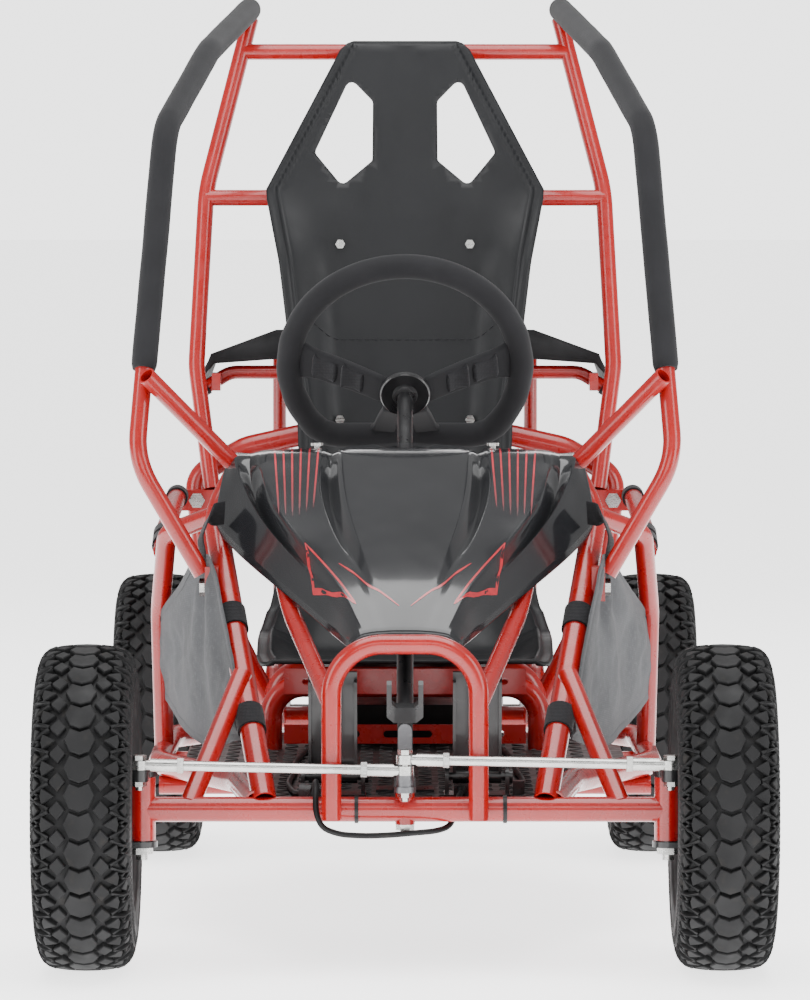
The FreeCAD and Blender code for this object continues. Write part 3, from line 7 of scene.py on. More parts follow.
import json
import math

import bmesh
import bpy
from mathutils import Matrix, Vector, noise
from mathutils.geometry import delaunay_2d_cdt


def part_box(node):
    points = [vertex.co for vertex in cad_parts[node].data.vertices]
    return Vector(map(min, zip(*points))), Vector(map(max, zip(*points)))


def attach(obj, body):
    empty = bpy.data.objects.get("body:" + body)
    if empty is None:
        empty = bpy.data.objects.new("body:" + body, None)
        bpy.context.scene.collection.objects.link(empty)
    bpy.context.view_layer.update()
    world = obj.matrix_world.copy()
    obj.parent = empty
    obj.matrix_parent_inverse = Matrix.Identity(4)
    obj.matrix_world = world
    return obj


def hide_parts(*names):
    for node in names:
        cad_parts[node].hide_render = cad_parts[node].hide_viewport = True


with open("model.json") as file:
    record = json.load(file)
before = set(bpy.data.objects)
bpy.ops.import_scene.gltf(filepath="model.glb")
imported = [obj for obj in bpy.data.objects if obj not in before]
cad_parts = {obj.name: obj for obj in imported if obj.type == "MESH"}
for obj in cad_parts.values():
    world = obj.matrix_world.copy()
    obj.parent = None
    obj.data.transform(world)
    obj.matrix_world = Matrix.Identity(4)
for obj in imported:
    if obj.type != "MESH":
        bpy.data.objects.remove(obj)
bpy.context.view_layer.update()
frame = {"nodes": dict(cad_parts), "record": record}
NODES = frame["nodes"]

MM = 0.001
TYRE_LOW, TYRE_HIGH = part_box("left_front_tyre")
FRONT_AXLE = (TYRE_LOW.y + TYRE_HIGH.y) / 2
SIDES = {"left": -1, "right": 1}


# ---------------------------------------------------------------- materials
def socket_value(node, name, value):
    node.inputs[name].default_value = value


class Finish:
    """A Principled material with noise-driven colour, roughness and bump in frame coordinates."""

    def __init__(self, name, color, rough, metal=0.0, coat=0.0, sheen=0.0, specular=0.5):
        self.material = bpy.data.materials.new(name)
        self.material.use_nodes = True
        self.tree = self.material.node_tree
        self.shader = self.tree.nodes["Principled BSDF"]
        self.coords = self.add("ShaderNodeTexCoord").outputs["Object"]
        self.color = color
        self.material.diffuse_color = (*color, 1)
        values = {"Base Color": (*color, 1), "Roughness": rough, "Metallic": metal, "Coat Weight": coat,
                  "Coat Roughness": 0.08, "Sheen Weight": sheen, "Specular IOR Level": specular}
        for socket, value in values.items():
            socket_value(self.shader, socket, value)
        self.normal = None
        self.tint = None

    def add(self, kind):
        return self.tree.nodes.new(kind)

    def link(self, source, target):
        self.tree.links.new(source, target)

    def scaled(self, stretch):
        mapping = self.add("ShaderNodeMapping")
        socket_value(mapping, "Scale", stretch)
        self.link(self.coords, mapping.inputs["Vector"])
        return mapping.outputs["Vector"]

    def texture(self, kind, vector, **values):
        node = self.add("ShaderNodeTex" + kind)
        for socket, value in values.items():
            socket_value(node, socket, value)
        self.link(vector, node.inputs["Vector"])
        return node

    def noise(self, scale, detail=4.0, stretch=(1, 1, 1)):
        return self.texture("Noise", self.scaled(stretch), Scale=scale, Detail=detail).outputs["Fac"]

    def cells(self, scale):
        return self.texture("Voronoi", self.scaled((1, 1, 1)), Scale=scale).outputs["Distance"]

    def bands(self, scale, direction):
        wave = self.texture("Wave", self.coords, Scale=scale, Distortion=0.0, Detail=1.0)
        wave.bands_direction = direction
        return wave.outputs["Fac"]

    def math(self, operation, first, second):
        node = self.add("ShaderNodeMath")
        node.operation = operation
        for index, item in enumerate((first, second)):
            if isinstance(item, float):
                node.inputs[index].default_value = item
            else:
                self.link(item, node.inputs[index])
        return node.outputs[0]

    def spread(self, value, low, high, start=0.3, end=0.7):
        node = self.add("ShaderNodeMapRange")
        self.link(value, node.inputs["Value"])
        for name, number in (("From Min", start), ("From Max", end), ("To Min", low), ("To Max", high)):
            socket_value(node, name, number)
        return node.outputs["Result"]

    def mottle(self, value, other, start=0.35, end=0.65):
        """Mixes another colour in where value is high."""
        node = self.add("ShaderNodeMix")
        node.data_type = "RGBA"
        self.link(self.spread(value, 0.0, 1.0, start, end), node.inputs["Factor"])
        if self.tint is None:
            node.inputs["A"].default_value = (*self.color, 1)
        else:
            self.link(self.tint, node.inputs["A"])
        node.inputs["B"].default_value = (*other, 1)
        self.tint = node.outputs["Result"]
        self.link(self.tint, self.shader.inputs["Base Color"])
        return self

    def roughen(self, value, low, high):
        self.link(self.spread(value, low, high), self.shader.inputs["Roughness"])
        return self

    def bump(self, value, depth, strength=1.0):
        node = self.add("ShaderNodeBump")
        socket_value(node, "Distance", depth * MM)
        socket_value(node, "Strength", strength)
        self.link(value, node.inputs["Height"])
        if self.normal is not None:
            self.link(self.normal, node.inputs["Normal"])
        self.normal = node.outputs["Normal"]
        self.link(self.normal, self.shader.inputs["Normal"])
        return self


def shade(color, factor):
    return tuple(min(1.0, value * factor) for value in color)


def painted(name, color, rough, coat, orange_peel=0.05):
    finish = Finish(name, color, rough, coat=coat)
    finish.mottle(finish.noise(14, 6), shade(color, 0.86))
    finish.mottle(finish.noise(160, 3), shade(color, 1.10), 0.60, 0.78)
    finish.roughen(finish.noise(60, 5), rough * 0.8, rough * 1.5)
    finish.bump(finish.noise(420, 2), orange_peel, 0.5)
    return finish


def metal_finish(name, color, rough, stretch=(1, 1, 1), grain=900):
    finish = Finish(name, color, rough, metal=1.0)
    finish.mottle(finish.noise(35, 5), shade(color, 0.72))
    finish.mottle(finish.noise(260, 4, stretch), shade(color, 1.12), 0.55, 0.75)
    finish.roughen(finish.noise(120, 4, stretch), rough * 0.7, rough * 1.5)
    finish.bump(finish.noise(grain, 3, stretch), 0.03, 0.4)
    return finish


def plastic(name, color, rough, grain, depth, coat=0.0):
    finish = Finish(name, color, rough, coat=coat, specular=0.3)
    finish.mottle(finish.noise(9, 5), shade(color, 1.25), 0.4, 0.75)
    finish.roughen(finish.noise(40, 5), rough * 0.85, rough * 1.2)
    finish.bump(finish.cells(grain), depth, 0.5)
    finish.bump(finish.noise(grain * 0.4, 3), depth, 0.4)
    return finish


def woven(name, color, thread, depth):
    """A plain weave: two sets of threads that cross, in all three planes of the frame."""
    finish = Finish(name, color, 0.88, sheen=0.08, specular=0.2)
    finish.mottle(finish.noise(11, 6), shade(color, 0.78))
    finish.mottle(finish.noise(210, 4), shade(color, 1.2), 0.5, 0.8)
    count = 0.5 * math.pi / (thread * MM) / 10
    across = finish.bands(count, "X")
    along = finish.bands(count, "Y")
    upright = finish.bands(count, "Z")
    weave = finish.math("MULTIPLY", finish.math("MAXIMUM", across, along), upright)
    finish.bump(weave, depth, 0.7)
    finish.bump(finish.noise(90, 5), depth * 1.5, 0.35)
    return finish


def rubber(name, color, rough):
    finish = Finish(name, color, rough, specular=0.25)
    finish.mottle(finish.noise(12, 6), shade(color, 1.35), 0.42, 0.8)
    finish.mottle(finish.noise(70, 6), (0.035, 0.031, 0.027), 0.60, 0.95)
    finish.roughen(finish.noise(35, 6), rough * 0.8, min(1.0, rough * 1.3))
    finish.bump(finish.noise(700, 4), 0.08, 0.6)
    return finish


def foam_finish(name, color):
    finish = Finish(name, color, 0.86, sheen=0.06, specular=0.2)
    finish.mottle(finish.noise(24, 6), shade(color, 1.3), 0.4, 0.8)
    finish.bump(finish.cells(1100), 0.12, 0.6)
    finish.bump(finish.noise(120, 5), 0.25, 0.3)
    return finish


RED = (0.36, 0.005, 0.0035)
SATIN = (0.008, 0.008, 0.009)
FINISH_TABLE = [
    (painted, "frame_red", RED, 0.26, 0.55),
    (painted, "black_paint", SATIN, 0.30, 0.35),
    (metal_finish, "zinc_steel", (0.62, 0.62, 0.60), 0.26, (1, 6, 6)),
    (metal_finish, "dark_steel", (0.20, 0.20, 0.21), 0.38),
    (metal_finish, "bare_steel", (0.50, 0.50, 0.50), 0.30, (8, 1, 1)),
    (metal_finish, "cast_alloy", (0.42, 0.43, 0.44), 0.48, (1, 1, 1), 400),
    (rubber, "tyre_rubber", (0.010, 0.010, 0.0105), 0.66),
    (painted, "rim_black", (0.008, 0.008, 0.0085), 0.42, 0.1),
    (foam_finish, "foam", (0.013, 0.013, 0.0145)),
    (painted, "pan_black", (0.016, 0.013, 0.013), 0.42, 0.1),
    (plastic, "seat_plastic", (0.008, 0.0084, 0.0095), 0.46, 950, 0.05),
    (plastic, "gloss_black", (0.012, 0.0125, 0.014), 0.20, 60, 0.004, 0.8),
    (plastic, "cover_plastic", (0.009, 0.009, 0.010), 0.72, 800, 0.04),
    (plastic, "box_plastic", (0.009, 0.009, 0.0095), 0.42, 700, 0.05),
    (rubber, "cable_rubber", (0.007, 0.007, 0.0075), 0.45),
    (woven, "strap_web", (0.016, 0.016, 0.018), 1.6, 0.25),
    (woven, "net_fabric", (0.080, 0.082, 0.087), 1.0, 0.18),
]
FINISHES = {name: kind(name, *settings) for kind, name, *settings in FINISH_TABLE}
for entry in frame["record"]["subparts"]:
    mesh = NODES[entry["node"]].data
    mesh.materials.clear()
    mesh.materials.append(FINISHES[entry["material_slot"]].material)


# ---------------------------------------------------------------- mesh helpers
def piece(name, points, faces, slot, body, smooth_angle=35.0, unit=MM):
    """A mesh object whose points are millimetres in the frame (or metres with unit=1)."""
    mesh = bpy.data.meshes.new(name)
    mesh.from_pydata([Vector(point) * unit for point in points], [], faces)
    tidy = bmesh.new()
    tidy.from_mesh(mesh)
    bmesh.ops.recalc_face_normals(tidy, faces=tidy.faces)
    tidy.to_mesh(mesh)
    tidy.free()
    for face in mesh.polygons:
        face.use_smooth = True
    mesh.set_sharp_from_angle(angle=math.radians(smooth_angle))
    mesh.materials.append(FINISHES[slot].material)
    thing = bpy.data.objects.new(name, mesh)
    bpy.context.scene.collection.objects.link(thing)
    if body:
        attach(thing, body)
    return thing


def spot(across, back, up):
    """Frame millimetres from kart millimetres."""
    return Vector((across, FRONT_AXLE / MM + back, up))


def bent_route(corners, radii, step=6.0):
    """Points along straight runs joined by arcs, close together on the arcs."""
    route = [corners[0].copy()]
    for index in range(1, len(corners) - 1):
        before = (corners[index - 1] - corners[index]).normalized()
        after = (corners[index + 1] - corners[index]).normalized()
        opening = before.angle(after)
        radius = radii[index - 1]
        reach = radius / math.tan(opening / 2)
        centre = corners[index] + (before + after).normalized() * (radius / math.sin(opening / 2))
        start = corners[index] + before * reach - centre
        end = corners[index] + after * reach - centre
        count = max(3, int(radius * (math.pi - opening) / step))
        turn = start.angle(end)
        for part in range(count + 1):
            share = part / count
            point = (start * math.sin((1 - share) * turn) + end * math.sin(share * turn)) / math.sin(turn)
            route.append(centre + point)
    route.append(corners[-1].copy())
    full = [route[0]]
    for point in route[1:]:
        gap = point - full[-1]
        count = max(1, int(gap.length / step))
        base = full[-1]
        full += [base + gap * (part / count) for part in range(1, count + 1)]
    return full


def grid_faces(rows, size, closed=False, wrapped=True):
    """The faces between rows of size points each; closed joins the last row to the first."""
    faces = []
    for row in range(rows if closed else rows - 1):
        here, there = row * size, (row + 1) % rows * size
        for turn in range(size if wrapped else size - 1):
            other = (turn + 1) % size
            faces.append((here + turn, here + other, there + other, there + turn))
    return faces


def sweep(route, ring, closed=False, up=None):
    """Points and faces of a skin whose section is ring(index, share) -> list of (side, rise)."""
    count = len(route)
    points = []
    normal = None
    for index, centre in enumerate(route):
        ahead = route[(index + 1) % count] if closed or index < count - 1 else centre
        behind = route[index - 1] if closed or index else centre
        way = (ahead - behind).normalized()
        if up is not None:
            normal = (up - way * up.dot(way)).normalized()
        elif normal is None:
            normal = way.orthogonal().normalized()
        else:
            normal = (normal - way * normal.dot(way)).normalized()
        side = way.cross(normal)
        section = ring(index, index / max(1, count - 1))
        points += [centre + side * a + normal * b for a, b in section]
    size = len(section)
    faces = grid_faces(count, size, closed)
    if not closed:
        faces.append(tuple(range(size))[::-1])
        faces.append(tuple(range((count - 1) * size, count * size)))
    return points, faces


def round_section(radius, count=24):
    return [(radius * math.cos(math.tau * turn / count), radius * math.sin(math.tau * turn / count))
            for turn in range(count)]


def soft_box(half_wide, half_thick, count=28, power=0.35):
    """A rounded rectangle: a superellipse."""
    section = []
    for turn in range(count):
        angle = math.tau * turn / count
        a, b = math.cos(angle), math.sin(angle)
        section.append((math.copysign(abs(a) ** power, a) * half_wide,
                        math.copysign(abs(b) ** power, b) * half_thick))
    return section


def merged(parts):
    points, faces = [], []
    for more_points, more_faces in parts:
        base = len(points)
        points += more_points
        faces += [tuple(base + corner for corner in face) for face in more_faces]
    return points, faces


def mirrored(side, outline):
    return [(side * a, b) for a, b in outline]


def line_value(knots, where):
    """Straight-line interpolation through (where, value) knots."""
    for (near, first), (far, second) in zip(knots, knots[1:]):
        if where <= far:
            return first + (second - first) * (where - near) / (far - near)
    return knots[-1][1]


def running_lengths(points):
    """The distance along a line of points, at each point."""
    lengths = [0.0]
    for near, far in zip(points, points[1:]):
        lengths.append(lengths[-1] + math.dist(near, far))
    return lengths


def curve_value(knots, where):
    """Smooth interpolation (Catmull-Rom) through (where, value) knots."""
    if where <= knots[0][0]:
        return knots[0][1]
    if where >= knots[-1][0]:
        return knots[-1][1]
    for index in range(len(knots) - 1):
        if where <= knots[index + 1][0]:
            break
    x1, y1 = knots[index]
    x2, y2 = knots[index + 1]
    x0, y0 = knots[max(index - 1, 0)]
    x3, y3 = knots[min(index + 2, len(knots) - 1)]
    slope1 = (y2 - y0) / max(x2 - x0, 1e-6)
    slope2 = (y3 - y1) / max(x3 - x1, 1e-6)
    span = x2 - x1
    share = (where - x1) / span
    return ((2 * share ** 3 - 3 * share ** 2 + 1) * y1 + (share ** 3 - 2 * share ** 2 + share) * span * slope1
            + (3 * share ** 2 - 2 * share ** 3) * y2 + (share ** 3 - share ** 2) * span * slope2)


# ---------------------------------------------------------------- tyres
TYRE_RADIUS = (TYRE_HIGH.z - TYRE_LOW.z) / 2 / MM
TREAD_DEPTH = 5.5
REPEATS = 36
RIBS = 120
PITCH = math.tau * TYRE_RADIUS / REPEATS
# The outer skin from the middle of the tread to the bead: (half width, radius) in millimetres.
SKIN = [(0, 165), (10, 164.7), (20, 163.9), (30, 162.5), (37, 160.2), (42.5, 156), (46, 150.5), (48.2, 144),
        (49.6, 136), (50, 126), (49.4, 115), (47.6, 104), (44.6, 95), (41, 89), (38.8, 84.6)]
LENGTHS = running_lengths(SKIN)
WIDE_KNOTS = [(length, point[0]) for length, point in zip(LENGTHS, SKIN)]
HIGH_KNOTS = [(length, point[1]) for length, point in zip(LENGTHS, SKIN)]


def skin_point(over, around, sink):
    """The tyre's surface: over is millimetres from the middle, around the tread in millimetres."""
    reach = abs(over)
    wide = curve_value(WIDE_KNOTS, reach)
    high = curve_value(HIGH_KNOTS, reach)
    step = 0.5
    run = Vector([curve_value(knots, reach + step) - curve_value(knots, max(reach - step, 0))
                  for knots in (WIDE_KNOTS, HIGH_KNOTS)]).normalized()
    wide += run.y * sink
    high -= run.x * sink
    angle = around / TYRE_RADIUS
    return Vector((math.copysign(wide, over), high * math.cos(angle), high * math.sin(angle)))


def tread_block(outline, raised=0.0, inset=0.9):
    """A closed block: a sunk base, chamfered edges and a top that follows the crown."""
    fine = []
    for index, (a, b) in enumerate(outline):
        c, d = outline[(index + 1) % len(outline)]
        count = max(1, int(math.hypot(c - a, d - b) / 6))
        fine += [(a + (c - a) * part / count, b + (d - b) * part / count) for part in range(count)]
    middle = (sum(a for a, _ in outline) / len(outline), sum(b for _, b in outline) / len(outline))
    points = []
    for grow, sink in ((0.5, TREAD_DEPTH + 1.0), (0.0, 0.9 - raised), (-inset, -raised)):
        for a, b in fine:
            away = Vector((a - middle[0], b - middle[1]))
            away = away * (1 + grow / max(away.length, 1.0))
            points.append(skin_point(middle[0] + away.x, middle[1] + away.y, sink))
    size = len(fine)
    points.append(skin_point(*middle, -raised))
    points.append(skin_point(*middle, TREAD_DEPTH + 1.0))
    faces = grid_faces(3, size)
    for turn in range(size):
        other = (turn + 1) % size
        faces.append((2 * size + turn, 2 * size + other, 3 * size))
        faces.append((other, turn, 3 * size + 1))
    return points, faces


def bar(start, end, width):
    """The outline of a straight ridge between two places on the tread."""
    way = Vector((end[0] - start[0], end[1] - start[1])).normalized()
    side = Vector((-way.y, way.x)) * width / 2
    return [(start[0] - side.x, start[1] - side.y), (end[0] - side.x, end[1] - side.y),
            (end[0] + side.x, end[1] + side.y), (start[0] + side.x, start[1] + side.y)]


def tyre_parts():
    step = PITCH / 2
    centre_block = [(-10, -12.6), (0, -8.6), (10, -12.6), (15.5, -0.6),
                    (10, 12.0), (0, 16.0), (-10, 12.0), (-15.5, -0.6)]
    # Each block's outline on the right side, and how far it stands above the rest.
    blocks = [([(14.0, step), (21.5, step - 9.6), (29.5, step - 1.5),
                (29.5, step + 1.5), (21.5, step + 9.6)], 0.0),
              ([(24.5, 0.0), (38.0, -8.6), (40.5, 0.0), (38.0, 8.6)], 0.0),
              ([(43.5, step), (53.0, step - 8.0), (57.0, step), (53.0, step + 8.0)], -1.2)]
    rows = [(centre_block, 0.0)]
    for side in (-1, 1):
        rows += [(mirrored(side, outline), raised) for outline, raised in blocks]
        for turn in (-1, 1):
            ridge = bar((31.0, step + turn * 1.6), (58.0, step + turn * 14.0), 3.0)
            rib = bar((43.5, turn * 1.2), (59.5, turn * 8.5), 2.4)
            rows += [(mirrored(side, ridge), 0.5), (mirrored(side, rib), 0.2)]
    parts = []
    for repeat in range(REPEATS):
        for outline, raised in rows:
            parts.append(tread_block([(a, b + repeat * PITCH) for a, b in outline], raised))
    for repeat in range(RIBS):
        for side in (-1, 1):
            middle = repeat * math.tau * TYRE_RADIUS / RIBS
            outline = [(side * a, middle + b) for a, b in ((63, -1.4), (72, -1.4), (72, 1.4), (63, 1.4))]
            parts.append(tread_block(outline, 0.45, 0.5))
    return merged(parts)


def carcass():
    """The tyre's body, turned: sunk under the tread, with rings on the sidewall and a bead."""
    profile = []
    total = LENGTHS[-1]
    count = 64
    for part in range(-count, count + 1):
        over = total * part / count
        reach = abs(over)
        sink = TREAD_DEPTH * (1 - min(1.0, max(0.0, (reach - 50) / 12)) ** 2)
        for ring_place in (80, 96, 101):
            sink -= 0.9 * math.exp(-((reach - ring_place) / 1.3) ** 2)
        point = skin_point(over, 0.0, sink)
        profile.append((point.x, math.hypot(point.y, point.z)))
    inner = [(38.0, 77.0), (26.0, 76.4), (36.0, 96.0), (41.0, 122.0), (30.0, 150.0)]
    profile += inner + [(-a, b) for a, b in inner[::-1]]
    segments = 144
    points = [Vector((a, b * math.cos(math.tau * turn / segments), b * math.sin(math.tau * turn / segments)))
              for turn in range(segments) for a, b in profile]
    return points, grid_faces(segments, len(profile), closed=True)


tyre_points, tyre_faces = merged([carcass(), tyre_parts()])
TYRES = {"left_front_tyre": "left_front_wheel", "right_front_tyre": "right_front_wheel",
         "left_rear_tyre": "rear_axle_set", "right_rear_tyre": "rear_axle_set"}
first_tyre = None
for node, body in TYRES.items():
    low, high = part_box(node)
    if first_tyre is None:
        tyre = piece(node + "_treaded", tyre_points, tyre_faces, "tyre_rubber", None, 28)
        first_tyre = tyre
    else:
        tyre = bpy.data.objects.new(node + "_treaded", first_tyre.data)
        bpy.context.scene.collection.objects.link(tyre)
    tyre.location = (low + high) / 2
    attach(tyre, body)
    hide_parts(node)

# ---------------------------------------------------------------- foam sleeves on the cage
# The cage bar's elbow, shoulder, crest and rear end: across, back and up.
CAGE_LINE = [(283.0, 262.0, 503.0), (256.5, 400.0, 853.0), (218.0, 630.0, 939.0), (181.0, 1060.0, 999.0)]
FOAM_RADIUS = 13.75


def sided(side, point):
    return spot(side * point[0], *point[1:])


def foam_sleeve(side):
    elbow, shoulder, crest, rear = [sided(side, corner) for corner in CAGE_LINE]
    start = elbow + (shoulder - elbow) * 0.27
    end = rear + (crest - rear).normalized() * 18
    route = bent_route([start, shoulder, crest, end], (60, 160), 5.0)
    count = len(route)

    def ring(index, share):
        edge = min(index, count - 1 - index)
        radius = FOAM_RADIUS - (1.6 if edge == 0 else 0.25 if edge == 1 else 0.0)
        section = []
        for turn in range(28):
            angle = math.tau * turn / 28
            wobble = noise.noise(Vector((index * 0.11, math.cos(angle), math.sin(angle) + side * 9)))
            reach = radius + 0.35 * wobble
            section.append((reach * math.cos(angle), reach * math.sin(angle)))
        return section

    return sweep(route, ring)


for name, side in SIDES.items():
    points, faces = foam_sleeve(side)
    sleeve = piece("cage_foam_" + name, points, faces, "foam", "root", 50)
    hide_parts("cage_foam")

# ---------------------------------------------------------------- steering wheel
COLUMN_WAY = Vector((0, 0.8583, 0.5132))
WHEEL_UP = Vector((0, -0.5132, 0.8583))
HUB = spot(0, 520, 562)
RING_CENTRE = HUB + COLUMN_WAY * 60
RING_RADIUS = 128.0
RING_FLAT = 92.0
RING_CORNER = 40.0
GRIP_RADIUS = 14.0


def wheel_spot(across, up, lift=0.0):
    return RING_CENTRE + Vector((across, 0, 0)) + WHEEL_UP * up + COLUMN_WAY * lift


def ring_route():
    """The D-shaped rim's centre line: a round top, two corners and a flat below."""
    corner_across = math.sqrt((RING_RADIUS - RING_CORNER) ** 2 - (RING_FLAT - RING_CORNER) ** 2)
    corner_up = RING_CORNER - RING_FLAT
    touch = math.atan2(corner_up, corner_across)

    def arc(across, up, radius, start, turn, parts, count):
        angles = [start + turn * part / count for part in parts]
        return [(across + radius * math.cos(angle), up + radius * math.sin(angle)) for angle in angles]

    corner_turn = math.pi / 2 + touch
    route = arc(0, 0, RING_RADIUS, touch, math.pi - 2 * touch, range(97), 96)
    route += arc(-corner_across, corner_up, RING_CORNER, math.pi - touch, corner_turn, range(1, 15), 14)
    route += [(-corner_across + 2 * corner_across * part / 24, -RING_FLAT) for part in range(1, 24)]
    return route + arc(corner_across, corner_up, RING_CORNER, -math.pi / 2, corner_turn, range(14), 14)


def grip_parts():
    route = ring_route()
    angles = [math.atan2(up, across) for across, up in route]

    def ring(index, share):
        angle = angles[index]
        scallop = 0.0
        if -0.9 < angle < 0.5 or angle > math.pi - 0.5 or angle < -math.pi + 0.9:
            scallop = 0.35 * math.cos(index * 0.9)
        return round_section(GRIP_RADIUS - 0.35 + scallop, 26)

    return sweep([wheel_spot(a, b) for a, b in route], ring, closed=True)


def pad_between(start, end, wide_start, wide_end, thick, up):
    count = 18
    route = []
    for part in range(count + 1):
        share = part / count
        sag = math.sin(math.pi * share) * 3.0
        route.append(start + (end - start) * share - up * sag)

    def ring(index, share):
        grow = 1 + 0.42 * max(0.0, (share - 0.75) / 0.25) ** 2
        close = 0.55 if index in (0, count) else 1.0
        return soft_box((wide_start + (wide_end - wide_start) * share) / 2 * grow * close, thick / 2 * close)

    return sweep(route, ring, up=up)


def face_up(run):
    """The wheel's outward way, square to a spoke."""
    along = run.normalized()
    return (-COLUMN_WAY + along * COLUMN_WAY.dot(along)).normalized()


def spoke_parts():
    parts = []
    inserts = []
    for side in (-1, 1):
        inner = HUB + Vector((side * 20, 0, 0)) + WHEEL_UP * 2 + COLUMN_WAY * 5
        outer = wheel_spot(side * 119, 10)
        run = outer - inner
        up = face_up(run)
        parts.append(pad_between(inner, outer, 30, 36, 9.5, up))
        for near, far in ((0.24, 0.50), (0.54, 0.82)):
            start, end = inner + run * near + up * 1.2, inner + run * far + up * 1.2
            inserts.append(pad_between(start, end, 23, 25, 9.0, up))
    for side in (-1, 1):
        inner = HUB + Vector((side * 13, 0, 0)) - WHEEL_UP * 20 + COLUMN_WAY * 5
        outer = wheel_spot(side * 25, -88)
        parts.append(pad_between(inner, outer, 20, 25, 8.5, face_up(outer - inner)))
    return merged(parts), merged(inserts)


grip = piece("steering_wheel_rim_grip", *grip_parts(), "foam", "steering", 50)
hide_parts("steering_wheel_grip")
spokes, spoke_inserts = spoke_parts()
spoke_pads = piece("steering_wheel_spoke_pads", *spokes, "foam", "steering", 50)
piece("steering_wheel_spoke_inserts", *spoke_inserts, "strap_web", "steering", 50)


def hub_parts():
    profile = [(0.0, 18.0), (0.0, 26.0), (1.2, 27.5), (5.0, 27.5),
               (6.4, 26.0), (6.4, 14.0), (11.0, 12.5), (12.0, 9.0)]
    base = HUB + COLUMN_WAY * 5.2
    count = 48
    points = []
    for rise, radius in profile:
        for turn in range(count):
            angle = math.tau * turn / count
            across, up = radius * math.cos(angle), radius * math.sin(angle)
            points.append(base - COLUMN_WAY * rise + Vector((across, 0, 0)) + WHEEL_UP * up)
    faces = grid_faces(len(profile), count)
    faces.append(tuple(range(count))[::-1])
    faces.append(tuple(range((len(profile) - 1) * count, len(profile) * count)))
    return points, faces


hub = piece("steering_wheel_hub_plate", *hub_parts(), "black_paint", "steering", 40)
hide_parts("steering_wheel_core")

# ---------------------------------------------------------------- seat shell
SEAT_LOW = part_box("seat_shell")[0]
SEAT_FRONT = (SEAT_LOW.y - FRONT_AXLE) / MM
SEAT_FLOOR = SEAT_LOW.z / MM
SEAT_SHEET = 5.0
# The moulding's middle line seen from the side, from the top edge to the front edge: (back, up).
SEAT_PROFILE = [(951.8, 958), (849, SEAT_FLOOR + 86), (835, SEAT_FLOOR + 42), (792, SEAT_FLOOR + 8),
                (SEAT_FRONT + 62, SEAT_FLOOR + 7), (SEAT_FRONT + 4, SEAT_FLOOR + 16)]
SEAT_HALF = [(958, 70), (784, 162), (700, 146), (520, 124), (430, 121), (330, 150), (262, 166)]
SEAT_WINDOW = [(64, 915), (37, 888), (37.5, 819), (73, 789), (105, 828)]


def flat_route(corners, radii, step=7.0):
    """A bent route in a plane, as pairs."""
    route = bent_route([Vector((a, b, 0)) for a, b in corners], radii, step)
    return [(point.x, point.y) for point in route]


def closed_route(corners, radius, step=5.0):
    """A closed outline with rounded corners, as pairs."""
    middle = ((corners[0][0] + corners[-1][0]) / 2, (corners[0][1] + corners[-1][1]) / 2)
    return flat_route([middle] + list(corners) + [middle], [radius] * len(corners), step)[:-1]


SEAT_LINE = flat_route(SEAT_PROFILE, [60, 40, 40, 60], 4.0)
SEAT_RUNS = running_lengths(SEAT_LINE)
SEAT_LENGTH = SEAT_RUNS[-1]


def seat_line_at(run):
    """The place on the side profile and its forward normal, at a distance from the top edge."""
    run = min(max(run, 0.0), SEAT_LENGTH)
    index = 0
    while index < len(SEAT_RUNS) - 2 and SEAT_RUNS[index + 1] < run:
        index += 1
    share = (run - SEAT_RUNS[index]) / max(SEAT_RUNS[index + 1] - SEAT_RUNS[index], 1e-6)
    a, b = SEAT_LINE[index], SEAT_LINE[index + 1]
    way = Vector((b[0] - a[0], b[1] - a[1])).normalized()
    return a[0] + (b[0] - a[0]) * share, a[1] + (b[1] - a[1]) * share, Vector((way.y, -way.x))


BACK_TILT = math.hypot(951.8 - 849, 958 - SEAT_FLOOR - 86) / (958 - SEAT_FLOOR - 86)


def run_from_height(up):
    return (958 - up) * BACK_TILT


def seat_half_width(run):
    low_run = run_from_height(430)
    if run < low_run:
        knots = [(run_from_height(up), half) for up, half in SEAT_HALF[:5]]
    else:
        knots = [(low_run, 121), (low_run + 110, 150), (low_run + 190, 166), (SEAT_LENGTH - 60, 166),
                 (SEAT_LENGTH, 158)]
    return line_value(knots, run)


def smooth_step(value):
    value = min(max(value, 0.0), 1.0)
    return value * value * (3 - 2 * value)


def seat_point(across, run):
    """The shell's front face: side bolsters, a rolled rim and a shallow middle channel."""
    back, up, normal = seat_line_at(run)
    half = seat_half_width(run)
    edge = half - abs(across)
    bolster = 26 * smooth_step((abs(across) - 0.56 * half) / (0.36 * half))
    bolster *= smooth_step((run - run_from_height(800)) / 120) * smooth_step((SEAT_LENGTH - run) / 120)
    shoulder = 7 * math.exp(-((abs(across) - 86) / 26) ** 2)
    shoulder *= math.exp(-((run - run_from_height(745)) / 48) ** 2)
    channel = -4 * math.exp(-(across / 34) ** 2) * smooth_step((run_from_height(560) - run) / 90)
    rim = -3.4 * smooth_step((13.5 - edge) / 3.0) + 2.4 * math.exp(-((edge - 15.5) / 2.6) ** 2)
    rise = bolster + shoulder + channel + rim
    return spot(across, back + normal.x * rise, up + normal.y * rise)


def seat_outline():
    count = 90
    runs = [SEAT_LENGTH * part / count for part in range(count + 1)]
    right = [(seat_half_width(run), run) for run in runs]
    top = right[0][1]
    corners = [(right[0][0] - 10, top), (right[0][0] - 3, top + 2.5)] + right[1:-1]
    corners += [(right[-1][0] - 4, SEAT_LENGTH - 3), (right[-1][0] - 12, SEAT_LENGTH)]
    return corners + mirrored(-1, corners[::-1])


